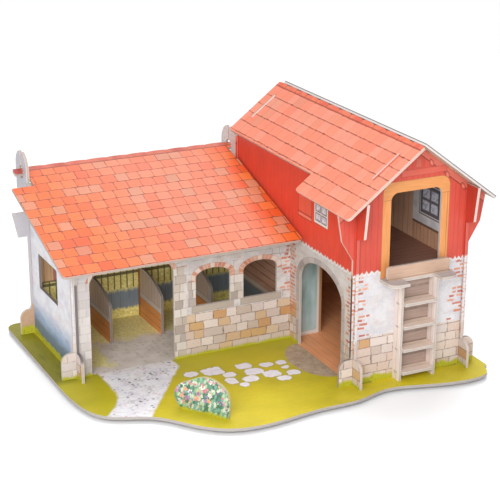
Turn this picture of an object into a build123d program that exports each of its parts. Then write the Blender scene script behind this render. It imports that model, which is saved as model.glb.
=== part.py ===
from build123d import *
import math
import os

# A slot-together toy barn of thick printed card: a tall barn with its gable to the front, a low
# stable wing on its left, and one wavy base board under both. Millimetres, +Z up. While drafting,
# X = 0 is the outer face of the barn's left wall, Y = 0 the front face of its front gable and
# Z = 0 the top of the base board. The whole model is moved at the end, so that its origin lies
# under the middle of its bounding box.

# Card and fits
card = 3.0                  # thickness of walls, floors and roofs
base_card = 3.0             # thickness of the base board
fit = 0.2                   # clearance on each side of a card in a slot
poke = 4.0                  # length by which the wall tabs stand out under the base board
past = 2.5                  # length by which a wall runs on past a corner
tab_width = 14.0            # width of a wall tab
base_slack = 1.0            # extra length of a base slot beside its tab
front_slack = 2.5           # extra width of the front gable's base slots, towards the front

# Corner feet
foot_reach = 13.0           # how far a foot stands out past the corner
foot_height = 28.5
foot_round = 10.0

# Barn body
barn_width = 131.0          # over the outer faces of the side walls
barn_depth = 273.5          # over the outer faces of the gables
ridge_height = 251.5        # top of the barn roof at its ridge
barn_slope = 37.0           # degrees
flare_start = 135.0         # height at which the gable starts to widen
flare_knee = 156.5          # height of the knee in the gable's widened edge
flare_reach = 13.0          # how far the edge stands out at the knee
flare_top_reach = 17.5      # how far it stands out under the roof
bracket_reach = 20.0        # how far a side wall runs forward under the roof
bracket_low_reach = 15.0    # how far it does at the lower edge of that bracket
bracket_low = 156.0         # height of that edge at the gable
bracket_rise = 5.0          # how much it rises towards its front

# Barn doorway, in the left wall
door_centre = 71.5
door_width = 92.0
door_spring = 78.0          # height at which the arch springs
door_rise = 27.0

# Loft, its opening in the front gable, the landing and its ladder
loft_top = 110.5            # height of the loft floor's upper face
loft_shift = 3.4            # the opening sits a little right of the barn's middle
opening_width = 59.2
opening_top = 199.0
opening_round = 8.0
landing_width = 79.5
landing_reach = 24.0
landing_round = 9.0
ladder_width = 37.5         # clear width between the stringers
stringer_depth = 13.0
tread_depth = 16.0
tread_count = 4
tread_first = 10.0          # height of the lowest tread's upper face
tread_tab = 5.0             # width of a tread's end tab
guard_length = 73.4         # the plank that stands on the landing
guard_height = 14.5
guard_round = 3.0
guard_setback = 6.0         # distance of the plank from the gable
guard_tab = 8.0

# Barn roof
rake_front = 20.0
rake_back = 15.0            # of the left slope
rake_back_right = 5.5       # the right slope ends nearer the rear gable
low_reach = 19.5            # how far the low part of the roof reaches out past the wall
low_length = 110.5          # length of the low part along the eave
roof_corner = 4.0
ridge_tile = 24.5           # length of one ridge tile along a scalloped ridge edge
ridge_dip = 1.5             # depth of the notches between the ridge tiles
tab_top = 20.0              # distance down the slope from the ridge to a roof tab
tab_length = 36.8           # length of a roof tab along the slope
tab_proud = 0.8             # how far a roof tab stands out over the roof

# Stable wing
wing_length = 247.0         # from the barn's left wall to the outer face of the wing's gable
wing_front = 138.0          # Y of the wing's front face
wing_slope = 16.6           # degrees
wing_eave = 32.0            # how far the wing roof reaches out past the front wall
wing_rake = 20.5            # how far it reaches out past the left gable
tongue_end = 39.0           # X at which the front wall's tongue ends inside the barn
crossing_low = 56.0         # height of the halved crossing of tongue and barn wall
wide_arch_left = 17.0       # distance of the wide arch from the left gable's outer face
wide_arch_width = 93.0
wide_arch_lintel = 20.0     # height of the wall over the arch
wide_arch_round = 13.0
window_width = 40.0
window_sill = 56.5
window_spring = 87.5
window_rise = 9.5
window_centres = (-92.0, -36.5)
side_window_back = 24.5     # distance of the left gable's window from the back wall
side_window_width = 59.0
side_window_low = 61.5
side_window_height = 39.0
ear_drop = 31.0             # distance of the back wall's lug from the wall's top
ear_height = 27.5
ear_reach = 10.6
ear_top_reach = 16.0

# Roof lid of the wing: a tongue at each end of its top edge turns in a keyhole, cut in a pointed
# loop behind the left gable and in one behind the barn's left wall
axis_past = 18.3            # distance of the turning axis behind the back wall
axis_drop = 18.4            # distance of the axis under the top of the barn's side walls
tongue_width = 12.5         # width of the roof's turning tongues
tongue_reach = 8.5          # how far a tongue stands out past its loop
tongue_round = 1.5
turn_gap = 0.8              # clearance round a tongue as it turns
loop_radius = 18.5
loop_rise = 23.4            # height of the loop's tip over the axis
loop_slit_gap = 0.5         # clearance on each side of a tongue in the keyhole's slit
loop_mouth = 4.5            # half width of the slit's flared mouth
loop_mouth_depth = 5.0
loop_stem = 22.0            # length of the loop's straight stem under the axis
loop_taper = 34.0           # height of the slope that joins the stem to the wall
notch_margin = 1.0          # side clearance between the lid's notches and the loops
notch_depth = 32.0          # distance of a notch's lower edge from the turning axis
eave_clear = 0.4            # clearance between the lid and the barn roof's eave as the lid turns

# Stall partitions
first_bay = 65.0            # width of the bay beside the left gable
bay = 60.0
stall_count = 3
stall_length = 66.0
stall_height = 59.5
stall_front = 44.5          # height of a partition's front edge
stall_flat = 22.0           # length of its level top at the back

# Flower card
flower_x = -161.8
flower_y = 4.7
flower_turn = -53.0         # degrees
flower_foot = 52.4          # length of its straight foot
flower_bush = (
    (-30.5, 5.0), (-34.0, 13.5), (-30.0, 25.0), (-18.5, 31.5), (-7.5, 37.0), (6.5, 38.5),
    (17.0, 34.5), (24.5, 27.5), (27.2, 15.0),
)

# Base board
base_left = 23.5            # margin left of the wing
base_right = 22.5           # margin right of the barn
base_back = 35.0            # margin behind the barn
base_round = 13.0
base_wave = (
    (-268.5, 84.0), (-253.0, 42.0), (-212.0, 20.5), (-184.0, -11.0), (-155.5, -35.5),
    (-100.0, -41.0), (-50.0, -34.5), (-8.0, -33.0), (26.0, -23.5), (62.0, -29.5),
    (98.0, -38.5), (128.0, -39.5), (143.0, -32.5), (149.0, -19.5),
)
wave_ends = (36.0, 32.0)    # how far behind its last point on each side the wave turns straight

# Places worked out from the sizes above
slope = math.radians(barn_slope)
tan_barn = math.tan(slope)
cos_barn = math.cos(slope)
sin_barn = math.sin(slope)
middle = barn_width / 2
inner_right = barn_width - card
back_plate = barn_depth - card
under_ridge = ridge_height - card / cos_barn - fit
side_wall_top = under_ridge - middle * tan_barn - fit
barn_cross = side_wall_top / 2
opening_middle = middle + loft_shift
landing_left = opening_middle - landing_width / 2
loft_under = loft_top - card

wing_angle = math.radians(wing_slope)
tan_wing = math.tan(wing_angle)
cos_wing = math.cos(wing_angle)
sin_wing = math.sin(wing_angle)
wing_back = barn_depth + fit
wing_back_outer = wing_back + card
wing_left = -wing_length
axis_y = wing_back_outer + axis_past
axis_z = side_wall_top - axis_drop
loop_top = axis_z + loop_rise
lid_under = axis_z - card / 2 / cos_wing - (axis_y - wing_front) * tan_wing
wing_wall = lid_under - fit
wing_cross = wing_wall / 2
wide_arch_height = wing_wall - wide_arch_lintel
side_window_y = wing_back - side_window_back - side_window_width
lid_gap = card * sin_barn + eave_clear
hole_radius = math.hypot(tongue_width / 2, card / 2) + turn_gap
stall_places = [wing_left + first_bay + bay * i for i in range(stall_count)]
stall_y = wing_back - fit - stall_length
tab_drop = base_card + poke
arch_left = wing_left + wide_arch_left
arch_right = arch_left + wide_arch_width


def upright(sketch, y):
    """Stand an XZ outline up as a card whose front face lies at y."""
    return extrude(Plane.XZ.offset(-(y + card)) * sketch, amount=card)


def sideways(sketch, x):
    """Stand a YZ outline up as a card whose left face lies at x."""
    return extrude(Plane.YZ.offset(x) * sketch, amount=card)


def level(sketch, z, thickness=card):
    """Lay an XY outline flat with its lower face at z."""
    return extrude(Plane.XY.offset(z) * sketch, amount=thickness)


def rect(u0, v0, u1, v1):
    return Pos((u0 + u1) / 2, (v0 + v1) / 2) * Rectangle(u1 - u0, v1 - v0)


def outline(*points):
    return Polygon(*points, align=None)


def foot(inner, outer):
    """A corner foot: a low upright strip whose outer top corner is rounded."""
    side = 1 if outer > inner else -1
    shape = rect(min(inner, outer), 0, max(inner, outer), foot_height)
    corner = [v for v in shape.vertices() if v.Y > foot_height / 2 and side * (v.X - inner) > 1]
    return fillet(corner, min(foot_round, foot_reach * 0.9, foot_height * 0.45))


def bottom_tabs(centres):
    return [rect(c - tab_width / 2, -tab_drop, c + tab_width / 2, card) for c in centres]


def arch(centre, width, low, spring, rise):
    """A window or door shape: straight sides under half an ellipse."""
    top = Pos(centre, spring) * Ellipse(width / 2, rise)
    return rect(centre - width / 2, low, centre + width / 2, spring) + top


def slot(centre, low, high):
    """A vertical slot for one thickness of card."""
    return rect(centre - card / 2 - fit, low, centre + card / 2 + fit, high)


# Tab places along each wall
gable_tabs = (tab_width, barn_width - tab_width)
left_wall_tabs = (barn_depth * 0.07, barn_depth * 0.62, barn_depth * 0.88)
right_wall_tabs = (barn_depth * 0.2, barn_depth * 0.5, barn_depth * 0.8)
wing_front_tabs = (wing_left + wide_arch_left / 2, (arch_right + window_centres[0]) / 2, sum(window_centres) / 2)
wing_back_tabs = (wing_left * 0.82, wing_left * 0.5, wing_left * 0.18)
wing_gable_tabs = (wing_front + barn_depth * 0.12, wing_back - barn_depth * 0.12)
stall_tab = stall_y + stall_length / 2


def under_slope(x):
    """Height of the gables' top edge at x, just under the roof."""
    return under_ridge - abs(x - middle) * tan_barn


def plain_gable():
    """A pointed gable with straight sides."""
    right = barn_width + past
    edge = under_slope(right)
    return outline((-past, 0), (right, 0), (right, edge), (middle, under_ridge), (-past, edge))


def flare(side):
    """The gable's widened part, which carries the low part of the roof."""
    inner = middle + past
    knee = inner + flare_reach
    top = inner + flare_top_reach
    shape = outline(
        (inner - card, flare_start), (inner, flare_start), (knee, flare_knee),
        (top, under_slope(middle + top)), (inner - card, under_slope(middle + inner - card)),
    )
    return Pos(middle, 0) * (shape if side > 0 else mirror(shape, about=Plane.YZ))


def roof_tab(side):
    """A tab that stands square to the roof and passes through its slot."""
    rise = card + fit * 2 + tab_proud
    tab = Pos(tab_top + tab_length / 2, (rise - card) / 2) * Rectangle(tab_length, rise + card)
    tab = Rot(0, 0, -barn_slope) * tab
    if side < 0:
        tab = mirror(tab, about=Plane.YZ)
    return Pos(middle, under_ridge) * tab


def barn_front_gable():
    shape = plain_gable() + flare(-1) + flare(1)
    shape += foot(-past, -past - foot_reach)
    shape += foot(barn_width + past, barn_width + past + foot_reach)
    for tab in bottom_tabs(gable_tabs):
        shape += tab
    shape += roof_tab(-1)
    shape += roof_tab(1)
    opening = rect(opening_middle - opening_width / 2, loft_top, opening_middle + opening_width / 2, opening_top)
    corners = [v for v in opening.vertices() if v.Y > opening_top - 1]
    shape -= fillet(corners, opening_round)
    floor_gap = landing_width / 2 + fit
    shape -= rect(opening_middle - floor_gap, loft_under - fit, opening_middle + floor_gap, loft_top + fit)
    shape -= slot(card / 2, -1, barn_cross + fit)
    shape -= slot(barn_width - card / 2, -1, barn_cross + fit)
    return upright(shape, 0)


def barn_back_gable():
    """The rear gable: no left foot, because the wing stands there."""
    shape = plain_gable()
    shape += foot(barn_width + past, barn_width + past + foot_reach)
    for tab in bottom_tabs(gable_tabs):
        shape += tab
    shape += roof_tab(-1)
    shape += roof_tab(1)
    shape -= slot(card / 2, -1, barn_cross + fit)
    shape -= slot(barn_width - card / 2, -1, barn_cross + fit)
    return upright(shape, back_plate)


def loop():
    """The pointed loop that carries the lid's tongue, drawn in Y and Z, and its keyhole."""
    near = axis_y - loop_radius
    far = axis_y + loop_radius
    shoulder = axis_z + loop_radius * 0.25
    stem_foot = axis_z - loop_stem
    swell = loop_radius * 0.76
    swell_z = shoulder + (loop_top - shoulder) * 0.66
    inner = wing_back_outer - card
    sides = Polyline(
        (far, shoulder), (far, stem_foot), (wing_back_outer, stem_foot - loop_taper),
        (inner, stem_foot - loop_taper), (inner, axis_z - loop_radius), (near, shoulder),
    )
    arc_near = ThreePointArc((near, shoulder), (axis_y - swell, swell_z), (axis_y, loop_top))
    arc_far = ThreePointArc((axis_y, loop_top), (axis_y + swell, swell_z), (far, shoulder))
    body = make_face(Wire([*sides.edges(), *arc_near.edges(), *arc_far.edges()]))
    slit = card / 2 + loop_slit_gap
    keyhole = Pos(axis_y, axis_z) * Circle(hole_radius)
    keyhole += rect(axis_y - slit, axis_z, axis_y + slit, loop_top + 1)
    keyhole += outline(
        (axis_y - slit, loop_top - loop_mouth_depth), (axis_y + slit, loop_top - loop_mouth_depth),
        (axis_y + loop_mouth, loop_top + 1), (axis_y - loop_mouth, loop_top + 1),
    )
    return body, keyhole


def side_wall_outline():
    """Side wall with its forward bracket and front and rear feet."""
    shape = rect(-past, 0, barn_depth + past, side_wall_top)
    shape += outline(
        (-bracket_low_reach, bracket_low + bracket_rise), (0, bracket_low), (0, side_wall_top),
        (-bracket_reach, side_wall_top),
    )
    shape += foot(-past, -past - foot_reach)
    shape += foot(barn_depth + past, barn_depth + past + foot_reach)
    shape -= slot(card / 2, barn_cross - fit, side_wall_top + 1)
    shape -= slot(barn_depth - card / 2, barn_cross - fit, side_wall_top + 1)
    return shape


def floor_slot(centre):
    half = tab_width / 2 + fit
    return rect(centre - half, loft_under - fit, centre + half, loft_top + fit)


floor_tabs = (barn_depth * 0.62, barn_depth * 0.85)


def barn_left_wall():
    shape = side_wall_outline()
    for tab in bottom_tabs(left_wall_tabs):
        shape += tab
    shape -= arch(door_centre, door_width, -1, door_spring, door_rise)
    body, keyhole = loop()
    under_roof = rect(barn_depth, side_wall_top, barn_depth + rake_back + fit, loop_top + 1)
    shape += body - under_roof
    shape -= keyhole
    shape -= slot(wing_front + card / 2, -1, crossing_low + fit)
    shape -= slot(wing_back + card / 2, -1, foot_height / 2 + fit)
    for centre in floor_tabs:
        shape -= floor_slot(centre)
    return sideways(shape, 0)


def barn_right_wall():
    shape = side_wall_outline()
    for tab in bottom_tabs(right_wall_tabs):
        shape += tab
    for centre in floor_tabs:
        shape -= floor_slot(centre)
    return sideways(shape, inner_right)


def loft_floor():
    """The loft floor, whose front runs out through the gable as a landing round the ladder."""
    shape = rect(card + fit, card + fit, inner_right - fit, back_plate - fit)
    landing = rect(landing_left, -landing_reach, landing_left + landing_width, card * 2)
    corners = [v for v in landing.vertices() if v.Y < 0]
    shape += fillet(corners, landing_round)
    half = ladder_width / 2
    notch = rect(opening_middle - half, -landing_reach - 1, opening_middle + half, -guard_setback - card - fit)
    shape -= notch
    for centre in floor_tabs:
        half_tab = tab_width / 2
        shape += rect(0, centre - half_tab, card * 2, centre + half_tab)
        shape += rect(inner_right - card, centre - half_tab, barn_width, centre + half_tab)
    for side in (-1, 1):
        x = opening_middle + side * guard_tab_place
        y = -guard_setback - card
        shape -= rect(x - guard_tab / 2 - fit, y - fit, x + guard_tab / 2 + fit, y + card + fit)
    return level(shape, loft_under)


guard_tab_place = (ladder_width / 2 + guard_length / 2) / 2 + card / 2


def landing_guard():
    """The plank that stands on the landing before the loft opening."""
    half = guard_length / 2
    shape = rect(opening_middle - half, loft_top, opening_middle + half, loft_top + guard_height)
    shape = fillet(shape.vertices(), guard_round)
    for side in (-1, 1):
        x = opening_middle + side * guard_tab_place
        shape += rect(x - guard_tab / 2, loft_under, x + guard_tab / 2, loft_top + guard_round)
    return upright(shape, -guard_setback - card)


tread_step = (loft_top - tread_first) / tread_count
tread_tops = [tread_first + tread_step * i for i in range(tread_count)]
tread_tab_y = -stringer_depth / 2


def ladder_stringer(side):
    """A side board of the ladder, square to the gable, slotted for the treads' end tabs."""
    shape = rect(-stringer_depth, 0, -fit, loft_under - fit)
    for top in tread_tops:
        half = tread_tab / 2 + fit
        shape -= rect(tread_tab_y - half, top - card - fit, tread_tab_y + half, top + fit)
    x = opening_middle + side * ladder_width / 2
    return sideways(shape, x if side > 0 else x - card)


def ladder_tread(top):
    half = ladder_width / 2 - fit
    shape = rect(opening_middle - half, -tread_depth, opening_middle + half, -fit)
    reach = ladder_width / 2 + card
    shape += rect(
        opening_middle - reach, tread_tab_y - tread_tab / 2, opening_middle + reach, tread_tab_y + tread_tab / 2
    )
    return level(shape, top - card)


def ridge_tiles(u0, u1, v):
    """The rounded ends of a row of ridge tiles, whose notches lie on the line v."""
    count = max(2, round((u1 - u0) / ridge_tile))
    step = (u1 - u0) / count
    return [Pos(u0 + (i + 0.5) * step, v) * Ellipse(step / 2, ridge_dip) for i in range(count)]


def on_slope(sketch, side):
    """Lay a roof outline, drawn as (Y, distance down the slope), on the barn's left or right slope."""
    direction = Vector(side * cos_barn, 0, -sin_barn)
    along = Vector(0, 1, 0)
    normal = along.cross(direction) if side < 0 else direction.cross(along)
    base = Vector(middle, 0, under_ridge + fit)
    plane = Plane(origin=base, x_dir=along, z_dir=Vector(side * sin_barn, 0, cos_barn))
    flip = 1 if plane.y_dir.dot(direction) > 0 else -1
    shape = sketch if flip > 0 else mirror(sketch, about=Plane.XZ)
    return extrude(plane * shape, amount=card)


roof_front = -rake_front
low_back = roof_front + low_length
eave_run = middle / cos_barn
low_run = (middle + low_reach) / cos_barn
left_start = card / math.tan(2 * slope) + fit       # the left slope's top edge, under the lap
right_start = -card / math.sin(2 * slope)           # the right slope laps over that edge


def barn_roof_slope(side):
    """One slope of the barn roof, with a low part at the front and slots for the gables' tabs."""
    start = left_start + ridge_dip if side < 0 else right_start
    roof_back = barn_depth + (rake_back if side < 0 else rake_back_right)
    shape = rect(roof_front, start, roof_back, eave_run) + rect(roof_front, start, low_back, low_run)
    corners = [v for v in shape.vertices() if v.Y > low_run - 1]
    corners += [v for v in shape.vertices() if v.Y > eave_run - 1 and v.X > roof_back - 1]
    shape = fillet(corners, roof_corner)
    if side < 0:
        for tile in ridge_tiles(roof_front, roof_back, start):
            shape += tile
    half = card / 2 + fit
    for y in (card / 2, barn_depth - card / 2):
        shape -= rect(y - half, tab_top - fit, y + half, tab_top + tab_length + fit)
    return on_slope(shape, side)


def wing_front_wall():
    shape = rect(wing_left - past, 0, tongue_end, wing_wall)
    shape += foot(wing_left - past, wing_left - past - foot_reach)
    for tab in bottom_tabs(wing_front_tabs):
        shape += tab
    wide = rect(arch_left, -tab_drop - 1, arch_right, wide_arch_height)
    shape -= fillet([v for v in wide.vertices() if v.Y > 0], wide_arch_round)
    for centre in window_centres:
        shape -= arch(centre, window_width, window_sill, window_spring, window_rise)
    shape -= slot(wing_left + card / 2, wing_cross - fit, wing_wall + 1)
    shape -= slot(card / 2, crossing_low - fit, wing_wall + 1)
    # Inside the barn the tongue passes under the loft floor
    shape -= rect(card, loft_under - fit, tongue_end + 1, wing_wall + 1)
    return upright(shape, wing_front)


def wing_back_wall():
    top = lid_under + (wing_back - wing_front) * tan_wing - fit
    shape = rect(wing_left - past, 0, -fit, top)
    shape += foot(wing_left - past, wing_left - past - foot_reach)
    edge = wing_left - past
    ear_top = top - ear_drop
    ear_low = ear_top - ear_height
    shape += outline((edge, ear_low), (edge, ear_top), (edge - ear_top_reach, ear_top), (edge - ear_reach, ear_low))
    shape += foot(-fit, card + past + foot_reach)
    for tab in bottom_tabs(wing_back_tabs):
        shape += tab
    shape -= slot(wing_left + card / 2, wing_cross - fit, top + 1)
    shape -= slot(card / 2, foot_height / 2 - fit, foot_height + 1)
    return upright(shape, wing_back)


def wing_left_gable():
    """The wing's gable, its top just under the lid and its loop at the back."""
    front = wing_front - past
    back = wing_back_outer + past
    top_front = lid_under + (front - wing_front) * tan_wing - fit
    top_back = lid_under + (back - wing_front) * tan_wing - fit
    body, keyhole = loop()
    shape = outline((front, 0), (back, 0), (back, top_back), (front, top_front)) + body
    shape += foot(front, front - foot_reach)
    shape += foot(back, back + foot_reach)
    for tab in bottom_tabs(wing_gable_tabs):
        shape += tab
    shape -= keyhole
    shape -= slot(wing_front + card / 2, -1, wing_cross + fit)
    shape -= slot(wing_back + card / 2, -1, wing_cross + fit)
    shape -= rect(
        side_window_y, side_window_low, side_window_y + side_window_width, side_window_low + side_window_height
    )
    return sideways(shape, wing_left)


def wing_roof_lid():
    """The wing's one roof slope, drawn as (X, distance up the slope from the turning axis)."""
    left = wing_left - wing_rake
    half = tongue_width / 2
    low = -(axis_y - wing_front + wing_eave) / cos_wing
    body_left = wing_left + card + notch_margin
    body_right = -past - notch_margin
    shape = rect(left, low, -lid_gap, -notch_depth)
    shape = fillet([v for v in shape.vertices() if v.Y < low + 1], roof_corner)
    shape += rect(body_left, -notch_depth - card, body_right, half - ridge_dip)
    for tile in ridge_tiles(body_left, body_right, half - ridge_dip):
        shape += tile
    for start, tip in ((body_left + card, wing_left - tongue_reach), (body_right - card, card + tongue_reach)):
        tongue = rect(min(start, tip), -half, max(start, tip), half - ridge_dip)
        shape += fillet([v for v in tongue.vertices() if abs(v.X - tip) < 1], tongue_round)
    plane = Plane(
        origin=(0, axis_y + sin_wing * card / 2, axis_z - cos_wing * card / 2),
        x_dir=(1, 0, 0),
        z_dir=(0, -sin_wing, cos_wing),
    )
    return extrude(plane * shape, amount=card)


def stall_partition(x):
    """A partition whose top is level at the back and falls in a curve to the front."""
    front = stall_y
    back = wing_back - fit
    knee = back - stall_flat
    mid_y = (knee * 0.48 + front * 0.52)
    mid_z = stall_front + (stall_height - stall_front) * 0.7
    lines = Polyline((front, stall_front), (front, 0), (back, 0), (back, stall_height), (knee, stall_height))
    curve = ThreePointArc((knee, stall_height), (mid_y, mid_z), (front, stall_front))
    shape = make_face(Wire([*lines.edges(), *curve.edges()]))
    shape += bottom_tabs((stall_tab,))[0]
    return sideways(shape, x - card / 2)


def flower_card():
    """A low standing card with a bushy outline and one tab."""
    half = flower_foot / 2
    bush = Spline((-half, 0), *flower_bush, (half, 0))
    shape = make_face(Wire([*bush.edges(), Edge.make_line((half, 0), (-half, 0))]))
    shape += rect(-tab_width / 2, -tab_drop, tab_width / 2, card)
    solid = extrude(Plane.XZ.offset(-card / 2) * shape, amount=card)
    return Pos(flower_x, flower_y) * Rot(0, 0, flower_turn) * solid


def base_slot(x, y, along_x, front=0.0):
    long = tab_width + base_slack * 2
    wide = card + fit * 2
    if along_x:
        return rect(x - long / 2, y - wide / 2 - front, x + long / 2, y + wide / 2)
    return rect(x - wide / 2, y - long / 2, x + wide / 2, y + long / 2)


def base_board():
    left = wing_left - base_left
    right = barn_width + base_right
    back = barn_depth + base_back
    first = (left, base_wave[0][1] + wave_ends[0])
    last = (right, base_wave[-1][1] + wave_ends[1])
    wave = Spline(first, *base_wave, last, tangents=((0, -1), (0, 1)))
    sides = Polyline(last, (right, back), (left, back), first)
    shape = make_face(Wire([*wave.edges(), *sides.edges()]))
    shape = fillet([v for v in shape.vertices() if v.Y > back - 1], base_round)
    half = card / 2
    for c in gable_tabs:
        shape -= base_slot(c, half, True, front_slack)
        shape -= base_slot(c, barn_depth - half, True)
    for c in left_wall_tabs:
        shape -= base_slot(half, c, False)
    for c in right_wall_tabs:
        shape -= base_slot(barn_width - half, c, False)
    for c in wing_front_tabs:
        shape -= base_slot(c, wing_front + half, True)
    for c in wing_back_tabs:
        shape -= base_slot(c, wing_back + half, True)
    for c in wing_gable_tabs:
        shape -= base_slot(wing_left + half, c, False)
    for x in stall_places:
        shape -= base_slot(x, stall_tab, False)
    shape -= Pos(flower_x, flower_y) * Rot(0, 0, flower_turn) * base_slot(0, 0, True)
    return level(shape, -base_card, base_card)


parts = {
    "base_board": base_board(),
    "barn_front_gable": barn_front_gable(),
    "barn_back_gable": barn_back_gable(),
    "barn_left_wall": barn_left_wall(),
    "barn_right_wall": barn_right_wall(),
    "loft_floor": loft_floor(),
    "landing_guard": landing_guard(),
    "ladder_stringer_left": ladder_stringer(-1),
    "ladder_stringer_right": ladder_stringer(1),
    "barn_roof_left": barn_roof_slope(-1),
    "barn_roof_right": barn_roof_slope(1),
    "wing_front_wall": wing_front_wall(),
    "wing_back_wall": wing_back_wall(),
    "wing_left_gable": wing_left_gable(),
    "wing_roof_lid": wing_roof_lid(),
    "flower_card": flower_card(),
}
for number, top in enumerate(tread_tops, start=1):
    parts[f"ladder_tread_{number}"] = ladder_tread(top)
for number, x in enumerate(stall_places, start=1):
    parts[f"stall_partition_{number}"] = stall_partition(x)

# Move everything, so that the origin is under the middle of the whole
boxes = [shape.bounding_box() for shape in parts.values()]
shift_x = -(min(b.min.X for b in boxes) + max(b.max.X for b in boxes)) / 2
shift_y = -(min(b.min.Y for b in boxes) + max(b.max.Y for b in boxes)) / 2
shift_z = -min(b.min.Z for b in boxes)

os.makedirs("parts", exist_ok=True)
for name, shape in parts.items():
    export_step(Pos(shift_x, shift_y, shift_z) * shape, f"parts/{name}.step")
print("moved by", round(shift_x, 3), round(shift_y, 3), round(shift_z, 3))
print("lid axis y, z", round(axis_y + shift_y, 3), round(axis_z + shift_z, 3))
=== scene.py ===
# %% [markdown]
# A slot-together toy barn of printed card
#
# Every piece of this toy is a flat card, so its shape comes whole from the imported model. What makes it
# a barn is its print: roof tiles, boards, stones, bricks and grass, and the pale grey edge that shows
# wherever the card is cut. Such prints could be pictures laid on the cards. Here they are patterns made
# of shader nodes, which stay sharp from any distance and need no image.

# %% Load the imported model
import math

import bmesh
import bpy
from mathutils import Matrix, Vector


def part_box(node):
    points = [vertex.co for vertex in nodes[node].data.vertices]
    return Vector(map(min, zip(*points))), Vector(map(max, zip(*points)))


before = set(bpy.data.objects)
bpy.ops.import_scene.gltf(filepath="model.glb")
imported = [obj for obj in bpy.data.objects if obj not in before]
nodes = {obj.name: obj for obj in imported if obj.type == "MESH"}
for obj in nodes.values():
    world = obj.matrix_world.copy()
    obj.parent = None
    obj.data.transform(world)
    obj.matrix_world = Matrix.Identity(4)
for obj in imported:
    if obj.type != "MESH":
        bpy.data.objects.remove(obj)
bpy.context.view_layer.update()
print("cards:", len(nodes))

# %% [markdown]
# The corner from which every print is measured
#
# The prints are laid out in millimetres from one corner of the barn: the outer face of its left wall,
# the front face of its front gable and the top of the base board. All three are read from the packed
# cards, so the prints stay where they belong if the model is packed again. The stable wing lies to the
# left of the barn, so its places are below 0.

# %% The corner and the main sizes, in millimetres
MM = 0.001
RIGHT, BACKWARD, UP = Vector((1, 0, 0)), Vector((0, 1, 0)), Vector((0, 0, 1))
LEFT, FORWARD = -RIGHT, -BACKWARD

left_wall_low, left_wall_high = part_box("barn_left_wall")
corner = Vector((left_wall_low.x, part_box("barn_front_gable")[0].y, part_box("base_board")[1].z))
CARD = (left_wall_high.x - left_wall_low.x) / MM
BARN_WIDTH = (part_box("barn_right_wall")[1].x - corner.x) / MM
BARN_DEPTH = (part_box("barn_back_gable")[1].y - corner.y) / MM
WING_FRONT = (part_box("wing_front_wall")[0].y - corner.y) / MM
WING_END = (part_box("wing_left_gable")[0].x - corner.x) / MM
print("card", round(CARD, 2), "barn", round(BARN_WIDTH, 1), "by", round(BARN_DEPTH, 1))

# %% [markdown]
# Sums as shader nodes
#
# A print is mostly arithmetic: how far a point is from a joint, which stone it lies in, how high over
# the grass it is. Blender has a Math node for each such step, and wiring them by hand is slow to write
# and to read. The class below wraps one socket, so that an ordinary sum such as `v - 3 * u` adds the
# Math nodes for it. A table says which node each sign or word adds.

# %% A socket that does sums
MATH_WORDS = {
    "__add__": "ADD", "__radd__": "ADD", "__sub__": "SUBTRACT", "__mul__": "MULTIPLY", "__rmul__": "MULTIPLY",
    "__truediv__": "DIVIDE", "__gt__": "GREATER_THAN", "__lt__": "LESS_THAN",
    "floor": "FLOOR", "fract": "FRACT",
    "size": "ABSOLUTE", "root": "SQRT", "whole": "ROUND", "cosine": "COSINE", "turn": "ARCTAN2",
    "least": "MINIMUM", "most": "MAXIMUM",
}


class Wire:
    """One output socket. Sums and comparisons with it add nodes to its tree."""

    def __init__(self, tree, socket):
        self.tree = tree
        self.socket = socket

    def math(self, operation, *others):
        node = self.tree.nodes.new("ShaderNodeMath")
        node.operation = operation
        for entry, value in zip(node.inputs, (self, *others)):
            plug(self.tree, entry, value)
        return Wire(self.tree, node.outputs[0])

    def __rsub__(self, other):
        return (self * -1) + other

    def fade(self, low, high):
        """0 below low, 1 above high and straight between, either way round."""
        node = self.tree.nodes.new("ShaderNodeMapRange")
        plug(self.tree, node.inputs["Value"], self)
        plug(self.tree, node.inputs["From Min"], low)
        plug(self.tree, node.inputs["From Max"], high)
        return Wire(self.tree, node.outputs["Result"])


def plug(tree, entry, value):
    """Link a Wire to an input, or set the input to a plain value."""
    if isinstance(value, Wire):
        tree.links.new(value.socket, entry)
    else:
        entry.default_value = value


def does(operation):
    return lambda wire, *others: wire.math(operation, *others)


for word, operation in MATH_WORDS.items():
    setattr(Wire, word, does(operation))
print("a wire knows", len(MATH_WORDS), "signs and words")

# %% [markdown]
# Inks
#
# The colours are written as on a colour card, as pairs of digits for red, green and blue. Blender works
# in linear light, and printed paper never reflects all of it, so an ink is the linear colour times what
# the white paper gives back. Without that step the prints look lit from inside.

# %% Printed colours
PAPER_WHITE = 0.74


def ink(code):
    """A printed colour, given as on a colour card, as the linear light that the paper reflects."""
    channels = [int(code[i:i + 2], 16) / 255 for i in (1, 3, 5)]
    linear = [c / 12.92 if c <= 0.04045 else ((c + 0.055) / 1.055) ** 2.4 for c in channels]
    return (*(c * PAPER_WHITE for c in linear), 1.0)


print("a printed red reflects", [round(c, 3) for c in ink("#D94A35")])

# %% [markdown]
# Chance
#
# Nothing that a hand has painted repeats. Three nodes bring chance into the patterns: smooth noise for
# clouds and strokes, white noise for one number to each stone or tile, and Voronoi cells for pebbles,
# leaves and blossoms. All of them give the same result at every run.

# %% Noise, random numbers and cells


def vector(x, y, z=0.0):
    node = x.tree.nodes.new("ShaderNodeCombineXYZ")
    for entry, value in zip(node.inputs, (x, y, z)):
        plug(x.tree, entry, value)
    return Wire(x.tree, node.outputs[0])


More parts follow.
